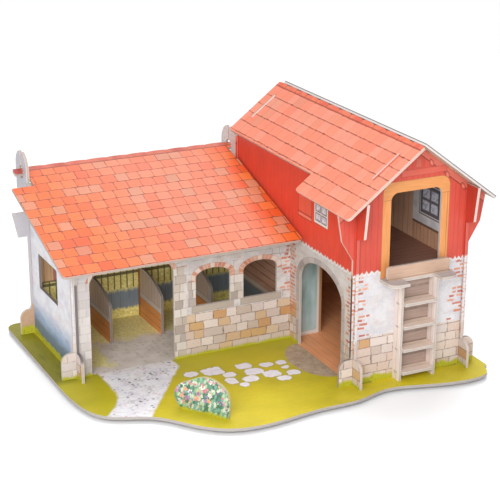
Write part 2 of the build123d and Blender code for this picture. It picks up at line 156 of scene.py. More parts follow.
def noise(u, v, seed=0.0, detail=2.0, roughness=0.5):
    """Smooth noise from 0 to 1, about one blotch to each unit of u and v."""
    node = u.tree.nodes.new("ShaderNodeTexNoise")
    node.inputs["Scale"].default_value = 1.0
    node.inputs["Detail"].default_value = detail
    node.inputs["Roughness"].default_value = roughness
    plug(u.tree, node.inputs["Vector"], vector(u, v, seed))
    return Wire(u.tree, node.outputs[0])


def chance(x, y=0.0, seed=0.0):
    """A random number from 0 to 1 for each whole x, y and seed."""
    node = x.tree.nodes.new("ShaderNodeTexWhiteNoise")
    plug(x.tree, node.inputs["Vector"], vector(x, y, seed))
    return Wire(x.tree, node.outputs["Value"])


class Cells:
    """Voronoi cells one unit wide: the distance from a cell's middle, and two numbers for each cell."""

    def __init__(self, u, v, spread=0.85):
        self.tree = u.tree
        self.node = u.tree.nodes.new("ShaderNodeTexVoronoi")
        self.node.voronoi_dimensions = "2D"
        self.node.inputs["Scale"].default_value = 1.0
        self.node.inputs["Randomness"].default_value = spread
        plug(self.tree, self.node.inputs["Vector"], vector(u, v))
        split = self.tree.nodes.new("ShaderNodeSeparateColor")
        self.tree.links.new(self.node.outputs["Color"], split.inputs[0])
        self.reach = Wire(self.tree, self.node.outputs["Distance"])
        self.tone = Wire(self.tree, split.outputs[0])
        self.hue = Wire(self.tree, split.outputs[1])

    def middle(self):
        place = self.tree.nodes.new("ShaderNodeSeparateXYZ")
        self.tree.links.new(self.node.outputs["Position"], place.inputs[0])
        return Wire(self.tree, place.outputs[0]), Wire(self.tree, place.outputs[1])


print("chance comes from:", noise.__name__, chance.__name__, Cells.__name__)

# %% [markdown]
# Colours laid over each other
#
# A printed card is built up like a painting: a ground colour, a mottle, then joints and outlines laid
# over it, each through a mask. These helpers mix two colours, darken or lighten one, and pick one from a
# short palette, in steps for separate stones or blended for clouds. Each finds its tree from the Wires
# that it is given, so it serves materials and node groups alike.

# %% Mixing and picking colours


def tree_of(*values):
    return next(value.tree for value in values if isinstance(value, Wire))


def over(under, colour, mask):
    """Lay a colour over another where the mask is 1."""
    tree = tree_of(under, colour, mask)
    node = tree.nodes.new("ShaderNodeMix")
    node.data_type = "RGBA"
    factor, below, above = node.inputs[0], node.inputs[6], node.inputs[7]
    plug(tree, factor, mask)
    plug(tree, below, under)
    plug(tree, above, colour)
    return Wire(tree, node.outputs[2])


def shade(colour, amount):
    """Multiply a colour by a grey amount around 1."""
    tree = tree_of(colour, amount)
    node = tree.nodes.new("ShaderNodeVectorMath")
    node.operation = "SCALE"
    plug(tree, node.inputs[0], colour if isinstance(colour, Wire) else colour[:3])
    plug(tree, node.inputs["Scale"], amount)
    return Wire(tree, node.outputs[0])


def mottled(colour, grain, strength):
    """A colour made lighter and darker by a noise, by half the strength each way."""
    return shade(colour, grain * strength + (1 - strength / 2))


def palette(pick, *codes, smooth=False):
    """One of a few colours, picked by a number from 0 to 1."""
    node = pick.tree.nodes.new("ShaderNodeValToRGB")
    ramp = node.color_ramp
    ramp.interpolation = "LINEAR" if smooth else "CONSTANT"
    steps = len(codes) - 1 if smooth else len(codes)
    for place, code in enumerate(codes):
        spot = ramp.elements[place] if place < 2 else ramp.elements.new(place / steps)
        spot.position = place / steps
        spot.color = ink(code)
    plug(pick.tree, node.inputs[0], pick)
    return Wire(pick.tree, node.outputs["Color"])


def blended(grain, *codes, low=0.3, high=0.7):
    """Colours that run into each other as a noise rises from low to high."""
    return palette(grain.fade(low, high), *codes, smooth=True)


def soft(depth, blur=0.35):
    """A mask with a slightly soft rim, as ink has on card, from a depth in millimetres."""
    return depth.fade(-blur, blur)


print("an ink's rim is soft over", 2 * soft.__defaults__[0], "mm")

# %% [markdown]
# Patterns that many prints share
#
# A pattern that several cards need is a node group: it is built once, with named inputs and outputs, and
# placed in each material with its own values. One small class builds such a group, and another places
# it. A group puts out only colours and numbers. The shader stays in the material itself.

# %% Building and placing a node group


class Pattern:
    """A node group under construction: its inputs are Wires, and done() wires its outputs."""

    def __init__(self, name, **inputs):
        self.tree = bpy.data.node_groups.new(name, "ShaderNodeTree")
        entry = self.tree.nodes.new("NodeGroupInput")
        for place, (title, value) in enumerate(inputs.items()):
            kind = "NodeSocketColor" if isinstance(value, tuple) else "NodeSocketFloat"
            socket = self.tree.interface.new_socket(title, in_out="INPUT", socket_type=kind)
            socket.default_value = value
            setattr(self, title, Wire(self.tree, entry.outputs[place]))

    def done(self, colour=None, **values):
        leave = self.tree.nodes.new("NodeGroupOutput")
        if colour is not None:
            self.tree.interface.new_socket("colour", in_out="OUTPUT", socket_type="NodeSocketColor")
            self.tree.links.new(colour.socket, leave.inputs["colour"])
        for title, wire in values.items():
            self.tree.interface.new_socket(title, in_out="OUTPUT", socket_type="NodeSocketFloat")
            self.tree.links.new(wire.socket, leave.inputs[title])
        print("pattern", self.tree.name, "with", len(self.tree.nodes), "nodes")
        return self.tree


class Used:
    """A pattern group placed in a tree, with its outputs as attributes."""

    def __init__(self, group, **inputs):
        tree = tree_of(*inputs.values())
        node = tree.nodes.new("ShaderNodeGroup")
        node.node_tree = group
        for title, value in inputs.items():
            plug(tree, node.inputs[title], value)
        for socket in node.outputs:
            setattr(self, socket.name, Wire(tree, socket))


print("node groups so far:", len(bpy.data.node_groups))

# %% [markdown]
# Courses of blocks
#
# Stones, bricks and tiles all lie in courses. A Brick node gives even courses, and a painted wall never
# has them. So the courses are worked out here: every row slides along by a random amount, and a slow
# noise squeezes and stretches its blocks, so that they differ in length as laid stones do.

# %% Courses


def from_joint(turn, pitch):
    """Millimetres to the nearer joint, where a block runs from 0 to 1 and is a pitch long."""
    return turn.least(1 - turn) * pitch


def make_courses():
    p = Pattern("Courses", u=0.0, v=0.0, height=10.0, length=16.0, wander=0.3, seed=0.0)
    rows = p.v / p.height
    row = rows.floor()
    across = rows.fract()
    slide = chance(row, p.seed, 3.0) * 9
    squeeze = noise(p.u / p.length * 0.45, row * 5.7 + p.seed, detail=0.0)
    along = p.u / p.length + slide + squeeze * p.wander * 4
    cell = along.floor()
    place = along.fract()
    end = from_joint(place, p.length)
    lip = from_joint(across, p.height)
    return p.done(
        end=end,
        lip=lip,
        joint=end.least(lip),
        tone=chance(cell, row, p.seed),
        hue=chance(cell, row, p.seed + 11),
        across=across,
        reach=chance(row, p.seed + 5),
        middle=p.u + (0.5 - place) * p.length,
        row=row,
    )


COURSES = make_courses()

# %% [markdown]
# Boards and boxes with round corners
#
# Walls, doors and floors of this toy are boarded. Boards are courses with a single row, and have a grain
# drawn out along them. Windows, frames and panels are boxes with slightly round corners. Their pattern
# gives a depth in millimetres, from which a mask, an outline or a frame can be cut.

# %% Boards and boxes


def make_boards():
    p = Pattern("Boards", u=0.0, v=0.0, width=8.0, wander=0.2, seed=0.0)
    along = p.u / p.width + noise(p.u / p.width * 0.6, p.seed, detail=0.0) * p.wander * 4
    board = along.floor()
    groove = from_joint(along.fract(), p.width)
    tone = chance(board, p.seed)
    lean = noise(p.v / 40, board, p.seed, detail=1.0) * 3
    grain = noise(p.u / 1.4 + lean, p.v / 26 + tone * 40, p.seed, detail=3.0)
    return p.done(groove=groove, tone=tone, grain=grain)


def make_rounded():
    """How deep a point lies inside a box with round corners, in millimetres, and below 0 outside."""
    p = Pattern("Rounded box", u=0.0, v=0.0, left=0.0, right=1.0, low=0.0, high=1.0, radius=1.0)
    across = (p.u - (p.left + p.right) * 0.5).size() - (p.right - p.left) * 0.5 + p.radius
    upward = (p.v - (p.low + p.high) * 0.5).size() - (p.high - p.low) * 0.5 + p.radius
    outer_across = across.most(0.0)
    outer_upward = upward.most(0.0)
    outside = (outer_across * outer_across + outer_upward * outer_upward).root()
    return p.done(depth=p.radius - outside - across.most(upward).least(0.0))


BOARDS = make_boards()
ROUNDED = make_rounded()


def box_depth(u, v, left, right, low, high, radius=0.5):
    return Used(ROUNDED, u=u, v=v, left=left, right=right, low=low, high=high, radius=radius).depth


# %% [markdown]
# Stones
#
# Real print of this kind is painted by hand first, so no two stones have one colour, and the joints are
# brush strokes of uneven strength. The pattern bends the courses a little, picks a colour for each stone
# from a pale or a warm palette, mottles it, and draws the joints with a mask that fades here and there.

# %% The stone print


def shifted(p):
    """A pattern's own place in the noise, so that no two uses of it look alike."""
    return p.u + p.seed * 31, p.v + p.seed * 17


def make_stones():
    p = Pattern("Stones", u=0.0, v=0.0, height=9.6, length=15.5, ochre=0.2, seed=0.0)
    u, w = shifted(p)
    wave_v = p.v + (noise(u / 12, w / 9, p.seed) - 0.5) * 2.0
    wave_u = p.u + (noise(u / 9, w / 7, p.seed + 4) - 0.5) * 2.6
    block = Used(COURSES, u=wave_u, v=wave_v, height=p.height, length=p.length, wander=0.3, seed=p.seed)
    pale = palette(
        block.tone, "#E9D8CE", "#DECABE", "#EEDFD6", "#E0C8B9", "#D7C4B9", "#E8D3C5", "#D4BFB1", "#E2D2CA"
    )
    warm = palette(block.tone, "#DBB27F", "#E2C29C", "#D6A26E", "#DEBC98", "#D7A777", "#E5CAAC")
    colour = over(pale, warm, (block.hue < p.ochre))
    colour = mottled(colour, noise(u / 2.6, w / 2.6, p.seed, detail=4.0, roughness=0.65), 0.26)
    strokes = noise(u / 0.9 + w / 1.3, w / 6, p.seed + 2, detail=2.0)
    colour = shade(colour, 1 - strokes.fade(0.54, 0.75) * (block.tone > 0.66) * 0.16)
    worn = noise(u / 5, w / 5, p.seed + 7).fade(0.3, 0.62)
    colour = over(colour, ink("#5E483E"), block.joint.fade(0.7, 0.25) * (worn * 0.55 + 0.2))
    return p.done(colour=colour, joint=block.joint)


STONES = make_stones()

# %% [markdown]
# Plaster and the bricks under it
#
# Between the stones and the roof the walls have brushed plaster, which has come off in places over red
# bricks. Plaster is a slow cloud of greys with the streaks of a broad brush. The bricks are flat short
# courses, most of them left out, with ragged ends. They get a mask of their own, so that a wall can show
# them only near its corners and openings.

# %% The plaster and brick prints


def make_plaster():
    """Brushed plaster, from warm grey (cool 0) to the bluish white of shaded lime (cool 1)."""
    p = Pattern("Plaster", u=0.0, v=0.0, cool=0.0, seed=0.0)
    u, w = shifted(p)
    cloud = noise(u / 22, w / 15, p.seed, detail=5.0, roughness=0.62)
    warm = blended(cloud, "#CBC2C0", "#D8CFCC", "#E5DFDC", "#DDD3CE")
    white = blended(cloud, "#D2D2DC", "#E0DFE6", "#ECEBEF", "#E4E0E2")
    tint = noise(u / 13, w / 11, p.seed + 6, detail=3.0)
    colour = over(over(warm, white, p.cool), ink("#D9C2B4"), tint.fade(0.52, 0.74) * 0.45)
    brush = noise(u / 7, w / 1.4, p.seed + 3, detail=3.0)
    return p.done(colour=mottled(colour, brush, 0.1))


def make_bricks():
    """Strokes of brick that show through plaster: their colour and place, and a number for each row."""
    p = Pattern("Bricks", u=0.0, v=0.0, share=0.4, seed=0.0)
    u, w = shifted(p)
    wave = p.v + (noise(u / 10, w / 8, p.seed) - 0.5) * 1.8
    block = Used(COURSES, u=p.u, v=wave, height=4.2, length=10.5, wander=0.4, seed=p.seed)
    colour = palette(block.hue, "#D98562", "#E09974", "#C66B58", "#E8A98A", "#CF765C", "#DB8F6C", "#C06252")
    colour = shade(colour, noise(u / 1.6, w / 1.2, p.seed, detail=3.0) * 0.34 + 0.84)
    ragged = (noise(u / 1.5, w / 1.5, p.seed + 9, detail=2.0) - 0.5) * 0.6
    shape = (block.end + ragged * 2).fade(0.6, 1.2) * (block.lip + ragged).fade(0.7, 1.05)
    return p.done(colour=colour, mask=(block.tone < p.share) * shape * 0.92, reach=block.reach)


PLASTER = make_plaster()
BRICKS = make_bricks()

# %% [markdown]
# Roof tiles
#
# The clay tiles lap downwards, so a tile's lower edge is a dark line and the joints beside it are thin
# and broken. The wing's roof runs from strong orange to pink, so the pattern mixes two palettes by an
# input, and a few tiles turn grey in patches.

# %% The tile print


def make_tiles():
    """Clay tiles in rows that lap downwards, v running up the slope."""
    p = Pattern(
        "Roof tiles", u=0.0, v=0.0, height=15.0, length=14.8, pale=0.5, joints=1.0, grey=0.55, seed=0.0
    )
    u, w = shifted(p)
    lifted = p.v + (noise(u / 24, w / 20, p.seed, detail=1.0) - 0.5) * 2.0
    leaned = p.u + (noise(u / 9, w / 12, p.seed + 2, detail=1.0) - 0.5) * 1.6
    block = Used(COURSES, u=leaned, v=lifted, height=p.height, length=p.length, wander=0.12, seed=p.seed)
    strong = palette(
        block.tone, "#FA6E26", "#FC762C", "#F86822", "#FC7A34", "#F96C26", "#FA722A", "#F66022", "#FB7E38"
    )
    light = palette(
        block.tone, "#FE9374", "#FF987C", "#FC8F70", "#FF9A7F", "#FD9173", "#FE9578", "#FB8C6E", "#FF9B81"
    )
    colour = over(strong, light, p.pale)
    patch = noise(block.middle / 27, block.row * 0.62, p.seed + 8, detail=0.0)
    grey = palette(block.tone, "#D69C7E", "#CFA084", "#D9A487", "#CC997C")
    colour = over(colour, grey, (patch > 0.6) * (block.hue > 0.25) * p.grey)
    colour = shade(colour, noise(u / 30, w / 22, p.seed + 3, detail=2.0) * 0.14 + 0.94)
    colour = mottled(colour, noise(u / 3.4, w / 3.4, p.seed, detail=4.0, roughness=0.6), 0.16)
    colour = mottled(colour, noise(u / 7, w / 1.1, p.seed + 11, detail=2.0), 0.16)
    colour = shade(colour, block.lip.fade(3.4, 1.2) * (block.across < 0.5) * 0.05 + 1)
    worn = noise(u / 5, w / 5, p.seed + 5).fade(0.32, 0.62)
    drawn = block.end.fade(0.9, 0.4) * (worn * 0.6 + 0.25) * (1.15 - p.pale * 0.5) * p.joints
    colour = over(colour, ink("#9C4024"), drawn)
    colour = over(colour, ink("#83341C"), block.lip.fade(0.9, 0.4) * (worn * 0.5 + 0.35))
    nick = block.end.fade(2.6, 0.6) * block.lip.fade(1.2, 0.3)
    return p.done(colour=over(colour, ink("#5A2010"), nick * (worn * 0.85 + 0.1)))


TILES = make_tiles()

# %% [markdown]
# Timber
#
# Bare, red and brown boards differ in two colours, in width and in how strongly the line between them is
# drawn, so one pattern serves them all. Its dark colour comes through along the grain and, darker still,
# in the grooves.

# %% The timber print


def make_timber():
    """Bare or painted boards along v, between a light and a dark colour, with drawn lines between them."""
    p = Pattern(
        "Timber", u=0.0, v=0.0, width=8.0,
        light=ink("#D9C2A6"), dark=ink("#8A6A50"), gap=0.6, line=0.7, seed=0.0
    )
    u, w = shifted(p)
    board = Used(BOARDS, u=p.u, v=p.v, width=p.width, wander=0.1, seed=p.seed)
    streak = board.grain.fade(0.34, 0.7)
    colour = over(p.light, p.dark, streak * 0.4 + board.tone * 0.22)
    colour = mottled(colour, board.tone, 0.12)
    cloud = noise(u / 12, w / 20, p.seed + 3, detail=2.0)
    colour = mottled(colour, cloud, 0.2)
    worn = noise(u / 8, w / 9, p.seed + 6, detail=2.0).fade(0.3, 0.6)
    line = board.groove.fade(p.gap, p.gap * 0.3) * (worn * 0.5 + 0.5)
    return p.done(colour=over(colour, shade(p.dark, cloud * 0.3 + 0.35), line * p.line), groove=board.groove)


TIMBER = make_timber()


def boards(u, v, width, light, dark, seed, **drawn):
    """The colour of boards along v. To lay them level, u and v change places."""
    return Used(TIMBER, u=u, v=v, width=width, light=ink(light), dark=ink(dark), seed=seed, **drawn).colour


# %% [markdown]
# Grass
#
# The lawn is broad level strokes of yellow green. Where a wall meets it, blades of uneven height are
# painted on the wall itself, so that the card seems to stand in the grass. Real blades of geometry would
# be wrong here, because on the toy they are print too.

# %% The lawn and the fringe of blades


def make_grass():
    p = Pattern("Grass", u=0.0, v=0.0, seed=0.0)
    u, w = shifted(p)
    broad = noise(u / 70, w / 50, p.seed, detail=3.0)
    colour = blended(broad, "#D0BE22", "#DDCA24", "#E8D326", "#EFDA2E", low=0.28, high=0.72)
    colour = mottled(colour, noise(u / 16, w / 3.4, p.seed + 2, detail=4.0, roughness=0.65), 0.22)
    blade = noise(u / 5.0, w / 0.9, p.seed + 5, detail=2.0)
    return p.done(colour=over(colour, ink("#B4B42A"), blade.fade(0.56, 0.75) * 0.4))


def make_fringe():
    """Grass that stands before the foot of a wall: blades of uneven height."""
    p = Pattern("Grass fringe", u=0.0, v=0.0, height=6.0, seed=0.0)
    u, w = shifted(p)
    rise = noise(u / 1.6, p.seed, detail=2.0, roughness=0.7)
    swell = noise(u / 15, p.seed + 4, detail=1.0)
    top = p.height * (swell * 1.3 + 0.1) + (rise - 0.5) * 7
    blade = noise(u / 0.9, w / 5, p.seed + 1, detail=2.0)
    colour = blended(blade, "#9DA324", "#BABA2A", "#D2CB36", "#B0B028")
    return p.done(colour=colour, mask=(top - p.v).fade(-0.6, 2.2))


GRASS = make_grass()
FRINGE = make_fringe()
GRASS_RISE = 5.0


def grow_grass(colour, u, v, seed, height=GRASS_RISE):
    fringe = Used(FRINGE, u=u, v=v, height=height, seed=seed)
    return over(colour, fringe.colour, fringe.mask)


# %% [markdown]
# The cut edge
#
# The card is a grey board between two pale liners. Wherever it is cut, the edge shows a soft grey core
# with a pale line on each side, slightly rough. Seen from a step away these edges draw the whole toy in
# pale lines, so the group gets its own pass: the depth across the card sets liner and core.

# %% The card's edge


def make_edge():
    p = Pattern("Card edge", depth=0.0, u=0.0, v=0.0)
    side = p.depth.least(CARD - p.depth)
    core = blended(noise(p.u / 14, p.v / 14, p.depth / 0.35, detail=3.0), "#B9ABA1", "#CBBDB3", "#D9CDC3")
    fibre = noise(p.u / 0.9, p.v / 0.9, p.depth / 0.5, detail=2.0)
    core = mottled(core, fibre, 0.16)
    return p.done(colour=over(core, ink("#EAE0D8"), side.fade(0.5, 0.28)), fibre=fibre)


EDGE = make_edge()

# %% [markdown]
# One card, one material
#
# A card has a printed front, a printed back and a cut edge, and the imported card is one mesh. It could be
# cut into three materials by face. Here one material asks which way the surface looks, so the mesh stays
# untouched. Every point gets its place in millimetres: u along the card and v up it. The print is a
# little glossier than the bare edge, and a faint bump breaks its shine.

# %% The material of a card


class Sheet:
    """The material of one card, with the place of each point on it in millimetres."""

    def __init__(self, name, along, up, out, origin=corner):
        self.name = name
        self.material = bpy.data.materials.new(name)
        self.material.use_nodes = True
        self.tree = self.material.node_tree
        self.tree.nodes.clear()
        self.origin = Vector(origin)
        self.out = Vector(out).normalized()
        self.texture = self.tree.nodes.new("ShaderNodeTexCoord")
        self.place = self.vector_math("SUBTRACT", self.texture.outputs["Object"], self.origin)
        self.u = self.measure(along)
        self.v = self.measure(up)
        reaches = [(vertex.co - self.origin).dot(self.out) / MM for vertex in nodes[name].data.vertices]
        self.back_face = min(reaches)
        self.front_face = max(reaches)

    def vector_math(self, operation, socket, value):
        node = self.tree.nodes.new("ShaderNodeVectorMath")
        node.operation = operation
        self.tree.links.new(socket, node.inputs[0])
        node.inputs[1].default_value = tuple(value)
        return node.outputs["Value"] if operation == "DOT_PRODUCT" else node.outputs[0]

    def measure(self, direction):
        """Millimetres from the origin along a direction."""
        length = self.vector_math("DOT_PRODUCT", self.place, Vector(direction).normalized() / MM)
        return Wire(self.tree, length)

    def finish(self, front, back, edge_tint=ink("#CBBDB3"), tinted=0.0):
        """Join the two printed faces and the cut edge in one material, and give it to the card."""
        edge = Used(EDGE, depth=self.measure(self.out) - self.back_face, u=self.u, v=self.v)
        facing = Wire(self.tree, self.vector_math("DOT_PRODUCT", self.texture.outputs["Normal"], self.out))
        print_front = facing.fade(0.6, 0.75)
        print_back = facing.fade(-0.6, -0.75)
        colour = over(edge.colour, edge_tint, tinted)
        colour = over(colour, front, print_front)
        colour = over(colour, back, print_back)
        printed = print_front + print_back
        fleck = noise(self.u / 0.7, self.v / 0.7, 5.0, detail=2.0)
        patchy = noise(self.u / 18, self.v / 18, 9.0, detail=2.0)
        roughness = 0.92 - printed * (0.5 - fleck * 0.1 - patchy * 0.08)
        self.shine(colour, roughness, fleck * printed * 0.4 + edge.fibre * (1 - printed) * 2)
        mesh = nodes[self.name].data
        mesh.materials.clear()
        mesh.materials.append(self.material)
        print("dressed", self.name, "with", len(self.tree.nodes), "nodes")

    def shine(self, colour, roughness, height):
        """The shader itself, with a bump from a height in twentieths of a millimetre."""
        bump = self.tree.nodes.new("ShaderNodeBump")
        bump.inputs["Strength"].default_value = 0.35
        bump.inputs["Distance"].default_value = 0.05 * MM
        plug(self.tree, bump.inputs["Height"], height)
        shader = self.tree.nodes.new("ShaderNodeBsdfPrincipled")
        plug(self.tree, shader.inputs["Base Color"], colour)
        plug(self.tree, shader.inputs["Roughness"], roughness)
        shader.inputs["Specular IOR Level"].default_value = 0.42
        self.tree.links.new(bump.outputs["Normal"], shader.inputs["Normal"])
        target = self.tree.nodes.new("ShaderNodeOutputMaterial")
        self.tree.links.new(shader.outputs[0], target.inputs["Surface"])


print("the base board has", len(nodes["base_board"].data.polygons), "faces")

# %% [markdown]
# Openings with a band of brick or stone
#
# The doors and windows have half an ellipse for a head. A point's distance to an ellipse has no short
# formula, but its first step does, and is exact enough for a band a few millimetres wide. The angle
# round the middle of the arch cuts the band into blocks.

# %% Arched bands


def make_arched():
    """Millimetres outside an arched opening, and a band of blocks along its head."""
    p = Pattern(
        "Arched band", u=0.0, v=0.0, middle=0.0, half=20.0, spring=80.0, rise=10.0, pitch=4.4, seed=0.0
    )
    across = (p.u - p.middle).size().most(0.01)
    upward = (p.v - p.spring).most(0.0)
    flat = across / p.half
    tall = upward / p.rise
    ratio = (flat * flat + tall * tall).root()
    steep = flat / p.half
    steeper = tall / p.rise
    reach = ratio * (ratio - 1) / (steep * steep + steeper * steeper).root()
    angle = (p.v - p.spring + p.rise).turn(p.u - p.middle)
    run = angle * (p.half + 3.0) / p.pitch
    tone = chance(run.floor(), p.seed, 2.0)
    return p.done(reach=reach, end=from_joint(run.fract(), p.pitch), tone=tone)


ARCHED = make_arched()
BRICK_TONES = ("#DB9474", "#E8CBBC", "#D58A69", "#E2AC92", "#EBD9CE", "#CC7F5E", "#DFA084")
STONE_TONES = ("#B3A4A0", "#C3B5B0", "#A49692", "#CBBDB8", "#B6A8A4", "#BFB0A8")


def lay_band(colour, arch, v, low, band, tones, joint="#EBDFD6", outline="#A2664E"):
    """Lay a band of blocks round the head of an arched opening, above a height."""
    rim = arch.reach.least(band - arch.reach)
    mottle = noise(arch.reach / 1.5, arch.end / 2, 1.0, detail=3.0)
    block = mottled(palette(arch.tone, *tones), mottle, 0.24)
    block = over(block, ink(joint), arch.end.fade(0.55, 0.15) * 0.6)
    block = over(block, ink(outline), rim.fade(0.6, 0.15) * 0.55)
    faint = noise(arch.reach / 3, arch.end / 2 + arch.tone * 9, 4.0).fade(0.2, 0.5) * 0.3 + 0.65
    return over(colour, block, soft(rim, 0.25) * soft(v - low) * faint)


# %% [markdown]
# The walls of the toy
#
# From the grass up, every wall has some courses of stone and then rough plaster, in which more stones
# show faintly and bricks show at the corners. Four helpers make these: the wall itself, the strokes of
# brick, a strip of dressed stones beside an opening, and a face's rim where a card stands out past the
# wall that it crosses, since there both of its sides are printed alike.

# %% Stone foot, plaster and bricks
STONE_TOP = 48.0


def masonry(u, v, seed, ochre=0.2, stone_top=STONE_TOP, cool=0.0, ghosts=0.4):
    """Plaster over a foot of stones, with the outlines of more stones faint in the plaster."""
    colour = Used(PLASTER, u=u, v=v, cool=cool, seed=seed).colour
    stones = Used(STONES, u=u, v=v, height=9.6, length=15.5, ochre=ochre, seed=seed + 4)
    thin = noise(u / 13, v / 12, seed + 9).fade(0.4, 0.6) * ghosts
    ghost = Used(STONES, u=u, v=v, height=7.2, length=10.5, ochre=0.0, seed=seed + 7)
    stained = blended(noise(u / 6, v / 5, seed + 5, detail=3.0), "#B4AAAC", "#CBC2C2", "#DAD0CD")
    inner = ghost.joint.fade(0.5, 1.5)
    colour = over(colour, stained, noise(u / 14, v / 10, seed + 6).fade(0.44, 0.56) * inner * ghosts * 0.7)
    colour = over(colour, ink("#7C6C66"), ghost.joint.fade(0.65, 0.2) * thin * 0.8)
    edge = (noise(u / 6, seed, detail=2.0) - 0.5) * 4
    return over(colour, stones.colour, soft(edge + stone_top - v, 0.6))


def brick_strokes(colour, u, v, where, share, seed, strength=1.0):
    """Strokes of brick in the plaster; where is a depth in millimetres, ragged from row to row."""
    brick = Used(BRICKS, u=u, v=v, share=share, seed=seed)
    return over(colour, brick.colour, brick.mask * soft(where - brick.reach * 9, 0.8) * strength)


def quoins(colour, u, v, left, right, low, high, seed):
    """Dressed stones in an upright strip, such as beside an opening."""
    block = Used(COURSES, u=u, v=v, height=9.4, length=12.0, wander=0.0, seed=seed)
    tones = palette(block.tone, "#E4DAD2", "#C6B9AE", "#DCD0C6", "#B5A89E", "#E8DFD8", "#CFC1B6", "#BFB2AC")
    stone = mottled(tones, noise(u / 2.4, v / 2.4, seed, detail=4.0), 0.18)
    worn = noise(u / 6, v / 6, seed + 1).fade(0.35, 0.6)
    stone = over(stone, ink("#85756D"), block.joint.fade(0.7, 0.2) * (worn * 0.5 + 0.2))
    ragged = (block.hue - 0.5) * 3.0
    strip = (u - left + ragged).least(right - u + ragged).least(v - low).least(high - v)
    return over(colour, stone, soft(strip, 0.4))


def stand_out(front, back, u, low, high):
    """The back print, but with the front one where the card stands out past the walls it joins."""
    return over(back, front, soft((low - u).most(u - high), 0.1))


print("stones reach up to", STONE_TOP, "mm")

# %% [markdown]
# The wing's front wall
#
# The wall has a wide arch for the stalls and two windows with a shared stone sill. Their heads are
# bricks: flat over the wide arch, and in an arched band over each window. The openings themselves are cut
# in the card, so the print only has to follow them.

# %% The outside of the wing's front
WIDE_ARCH = dict(left=-230.0, right=-137.0, low=-20.0, high=111.0, radius=13.0)
WINDOW_MIDDLES = (-92.0, -36.5)
WINDOW = dict(half=20.0, spring=87.5, rise=9.5, pitch=4.3)
SILL_MIDDLE, SILL_HALF, SILL_TOP = -64.0, 53.0, 56.5


def lay_sill(colour, u, v):
    """Two stone sills in one strip, with a gap between the windows."""
    out = (u - SILL_MIDDLE).size()
    sill = (SILL_TOP - v).least(v - STONE_TOP - 1).least(out - 4).least(SILL_HALF - out)
    stone = mottled(ink("#C2B4A7"), noise(u / 3, v / 1.6, 4.0, detail=4.0), 0.26)
    stone = over(stone, ink("#75645A"), sill.fade(0.6, 0.2) * 0.6)
    return over(colour, stone, soft(sill, 0.3))


def lay_flat_bricks(colour, u, v):
    """A row of upright bricks over the wide arch."""
    depth = box_depth(u, v, **WIDE_ARCH)
    rim = (depth * -1).least(depth + 4.6)
    run = u / 4.2
    end = from_joint(run.fract(), 4.2)
    brick = mottled(palette(chance(run.floor(), 4.0), *BRICK_TONES), noise(u / 2, v / 3, 6.0), 0.24)
    brick = over(brick, ink("#EBDFD6"), end.fade(0.5, 0.2) * 0.75)
    brick = over(brick, ink("#A2664E"), rim.fade(0.55, 0.15) * 0.5)
    return over(colour, brick, soft(rim) * soft(v - WIDE_ARCH["high"] + 9))


def wing_front_outside(u, v):
    colour = masonry(u, v, 1.0, ochre=0.21, cool=0.3, ghosts=0.7)
    drift = (noise(u / 16, v / 14, 6.0) - 0.56) * 60
    colour = brick_strokes(colour, u, v, (v - 92).least(drift), 0.7, 2.0, 0.6)
    colour = quoins(colour, u, v, WIDE_ARCH["right"], WIDE_ARCH["right"] + 13, -9, 104, 3.0)
    colour = quoins(colour, u, v, WIDE_ARCH["left"] - 14, WIDE_ARCH["left"], -9, 104, 5.0)
    colour = over(colour, ink("#E4E0E4"), soft(WIDE_ARCH["left"] - u) * 0.45)
    colour = quoins(colour, u, v, -71.5, -57.0, SILL_TOP, 90, 7.0)
    colour = brick_strokes(colour, u, v, (u + 13).least(v - 52), 0.75, 8.0)
    colour = quoins(colour, u, v, -121.0, -112.0, SILL_TOP, 86, 9.0)
    colour = lay_sill(colour, u, v)
    for number, middle in enumerate(WINDOW_MIDDLES):
        arch = Used(ARCHED, u=u, v=v, middle=middle, seed=number + 3.0, **WINDOW)
        colour = lay_band(colour, arch, v, WINDOW["spring"] - 3, 5.4, BRICK_TONES)
    colour = lay_flat_bricks(colour, u, v)
    return grow_grass(colour, u, v, 2.0)


print("wide arch", WIDE_ARCH["right"] - WIDE_ARCH["left"], "mm wide")

# %% [markdown]
# The tongue in the barn
#
# The same card runs on through the barn's wall as a short tongue, which shows in the barn's doorway as a
# pale blue-green panel between boards. It is a second print on the front face, from the barn wall on.

# %% Dress the wing's front wall


def doorway_panel(u, v):
    panel = box_depth(u, v, 3.4, 33.0, 4.0, 91.0, 3.0)
    inner = boards(u, v, 9.0, "#D09A6C", "#9A6642", 2.0)
    inner = over(inner, ink("#EFE6DC"), soft(box_depth(u, v, -5.0, 36.0, -2.0, 96.0, 3.0)))
    teal = blended(noise(u / 9, v / 30, 5.0, detail=2.0), "#A3C0BC", "#B9D2D0", "#CCDEDE")
    return over(inner, teal, soft(panel, 0.5))


def dress_wing_front():
    s = Sheet("wing_front_wall", RIGHT, UP, FORWARD)
    u, v = s.u, s.v
    front = wing_front_outside(u, v)
    front = over(front, doorway_panel(u, v), soft(u - 2.5, 0.1))
    inside = boards(u, v, 9.0, "#D2C0B2", "#9C897C", 3.0)
    s.finish(front, stand_out(front, inside, u, WING_END, 999.0))


dress_wing_front()
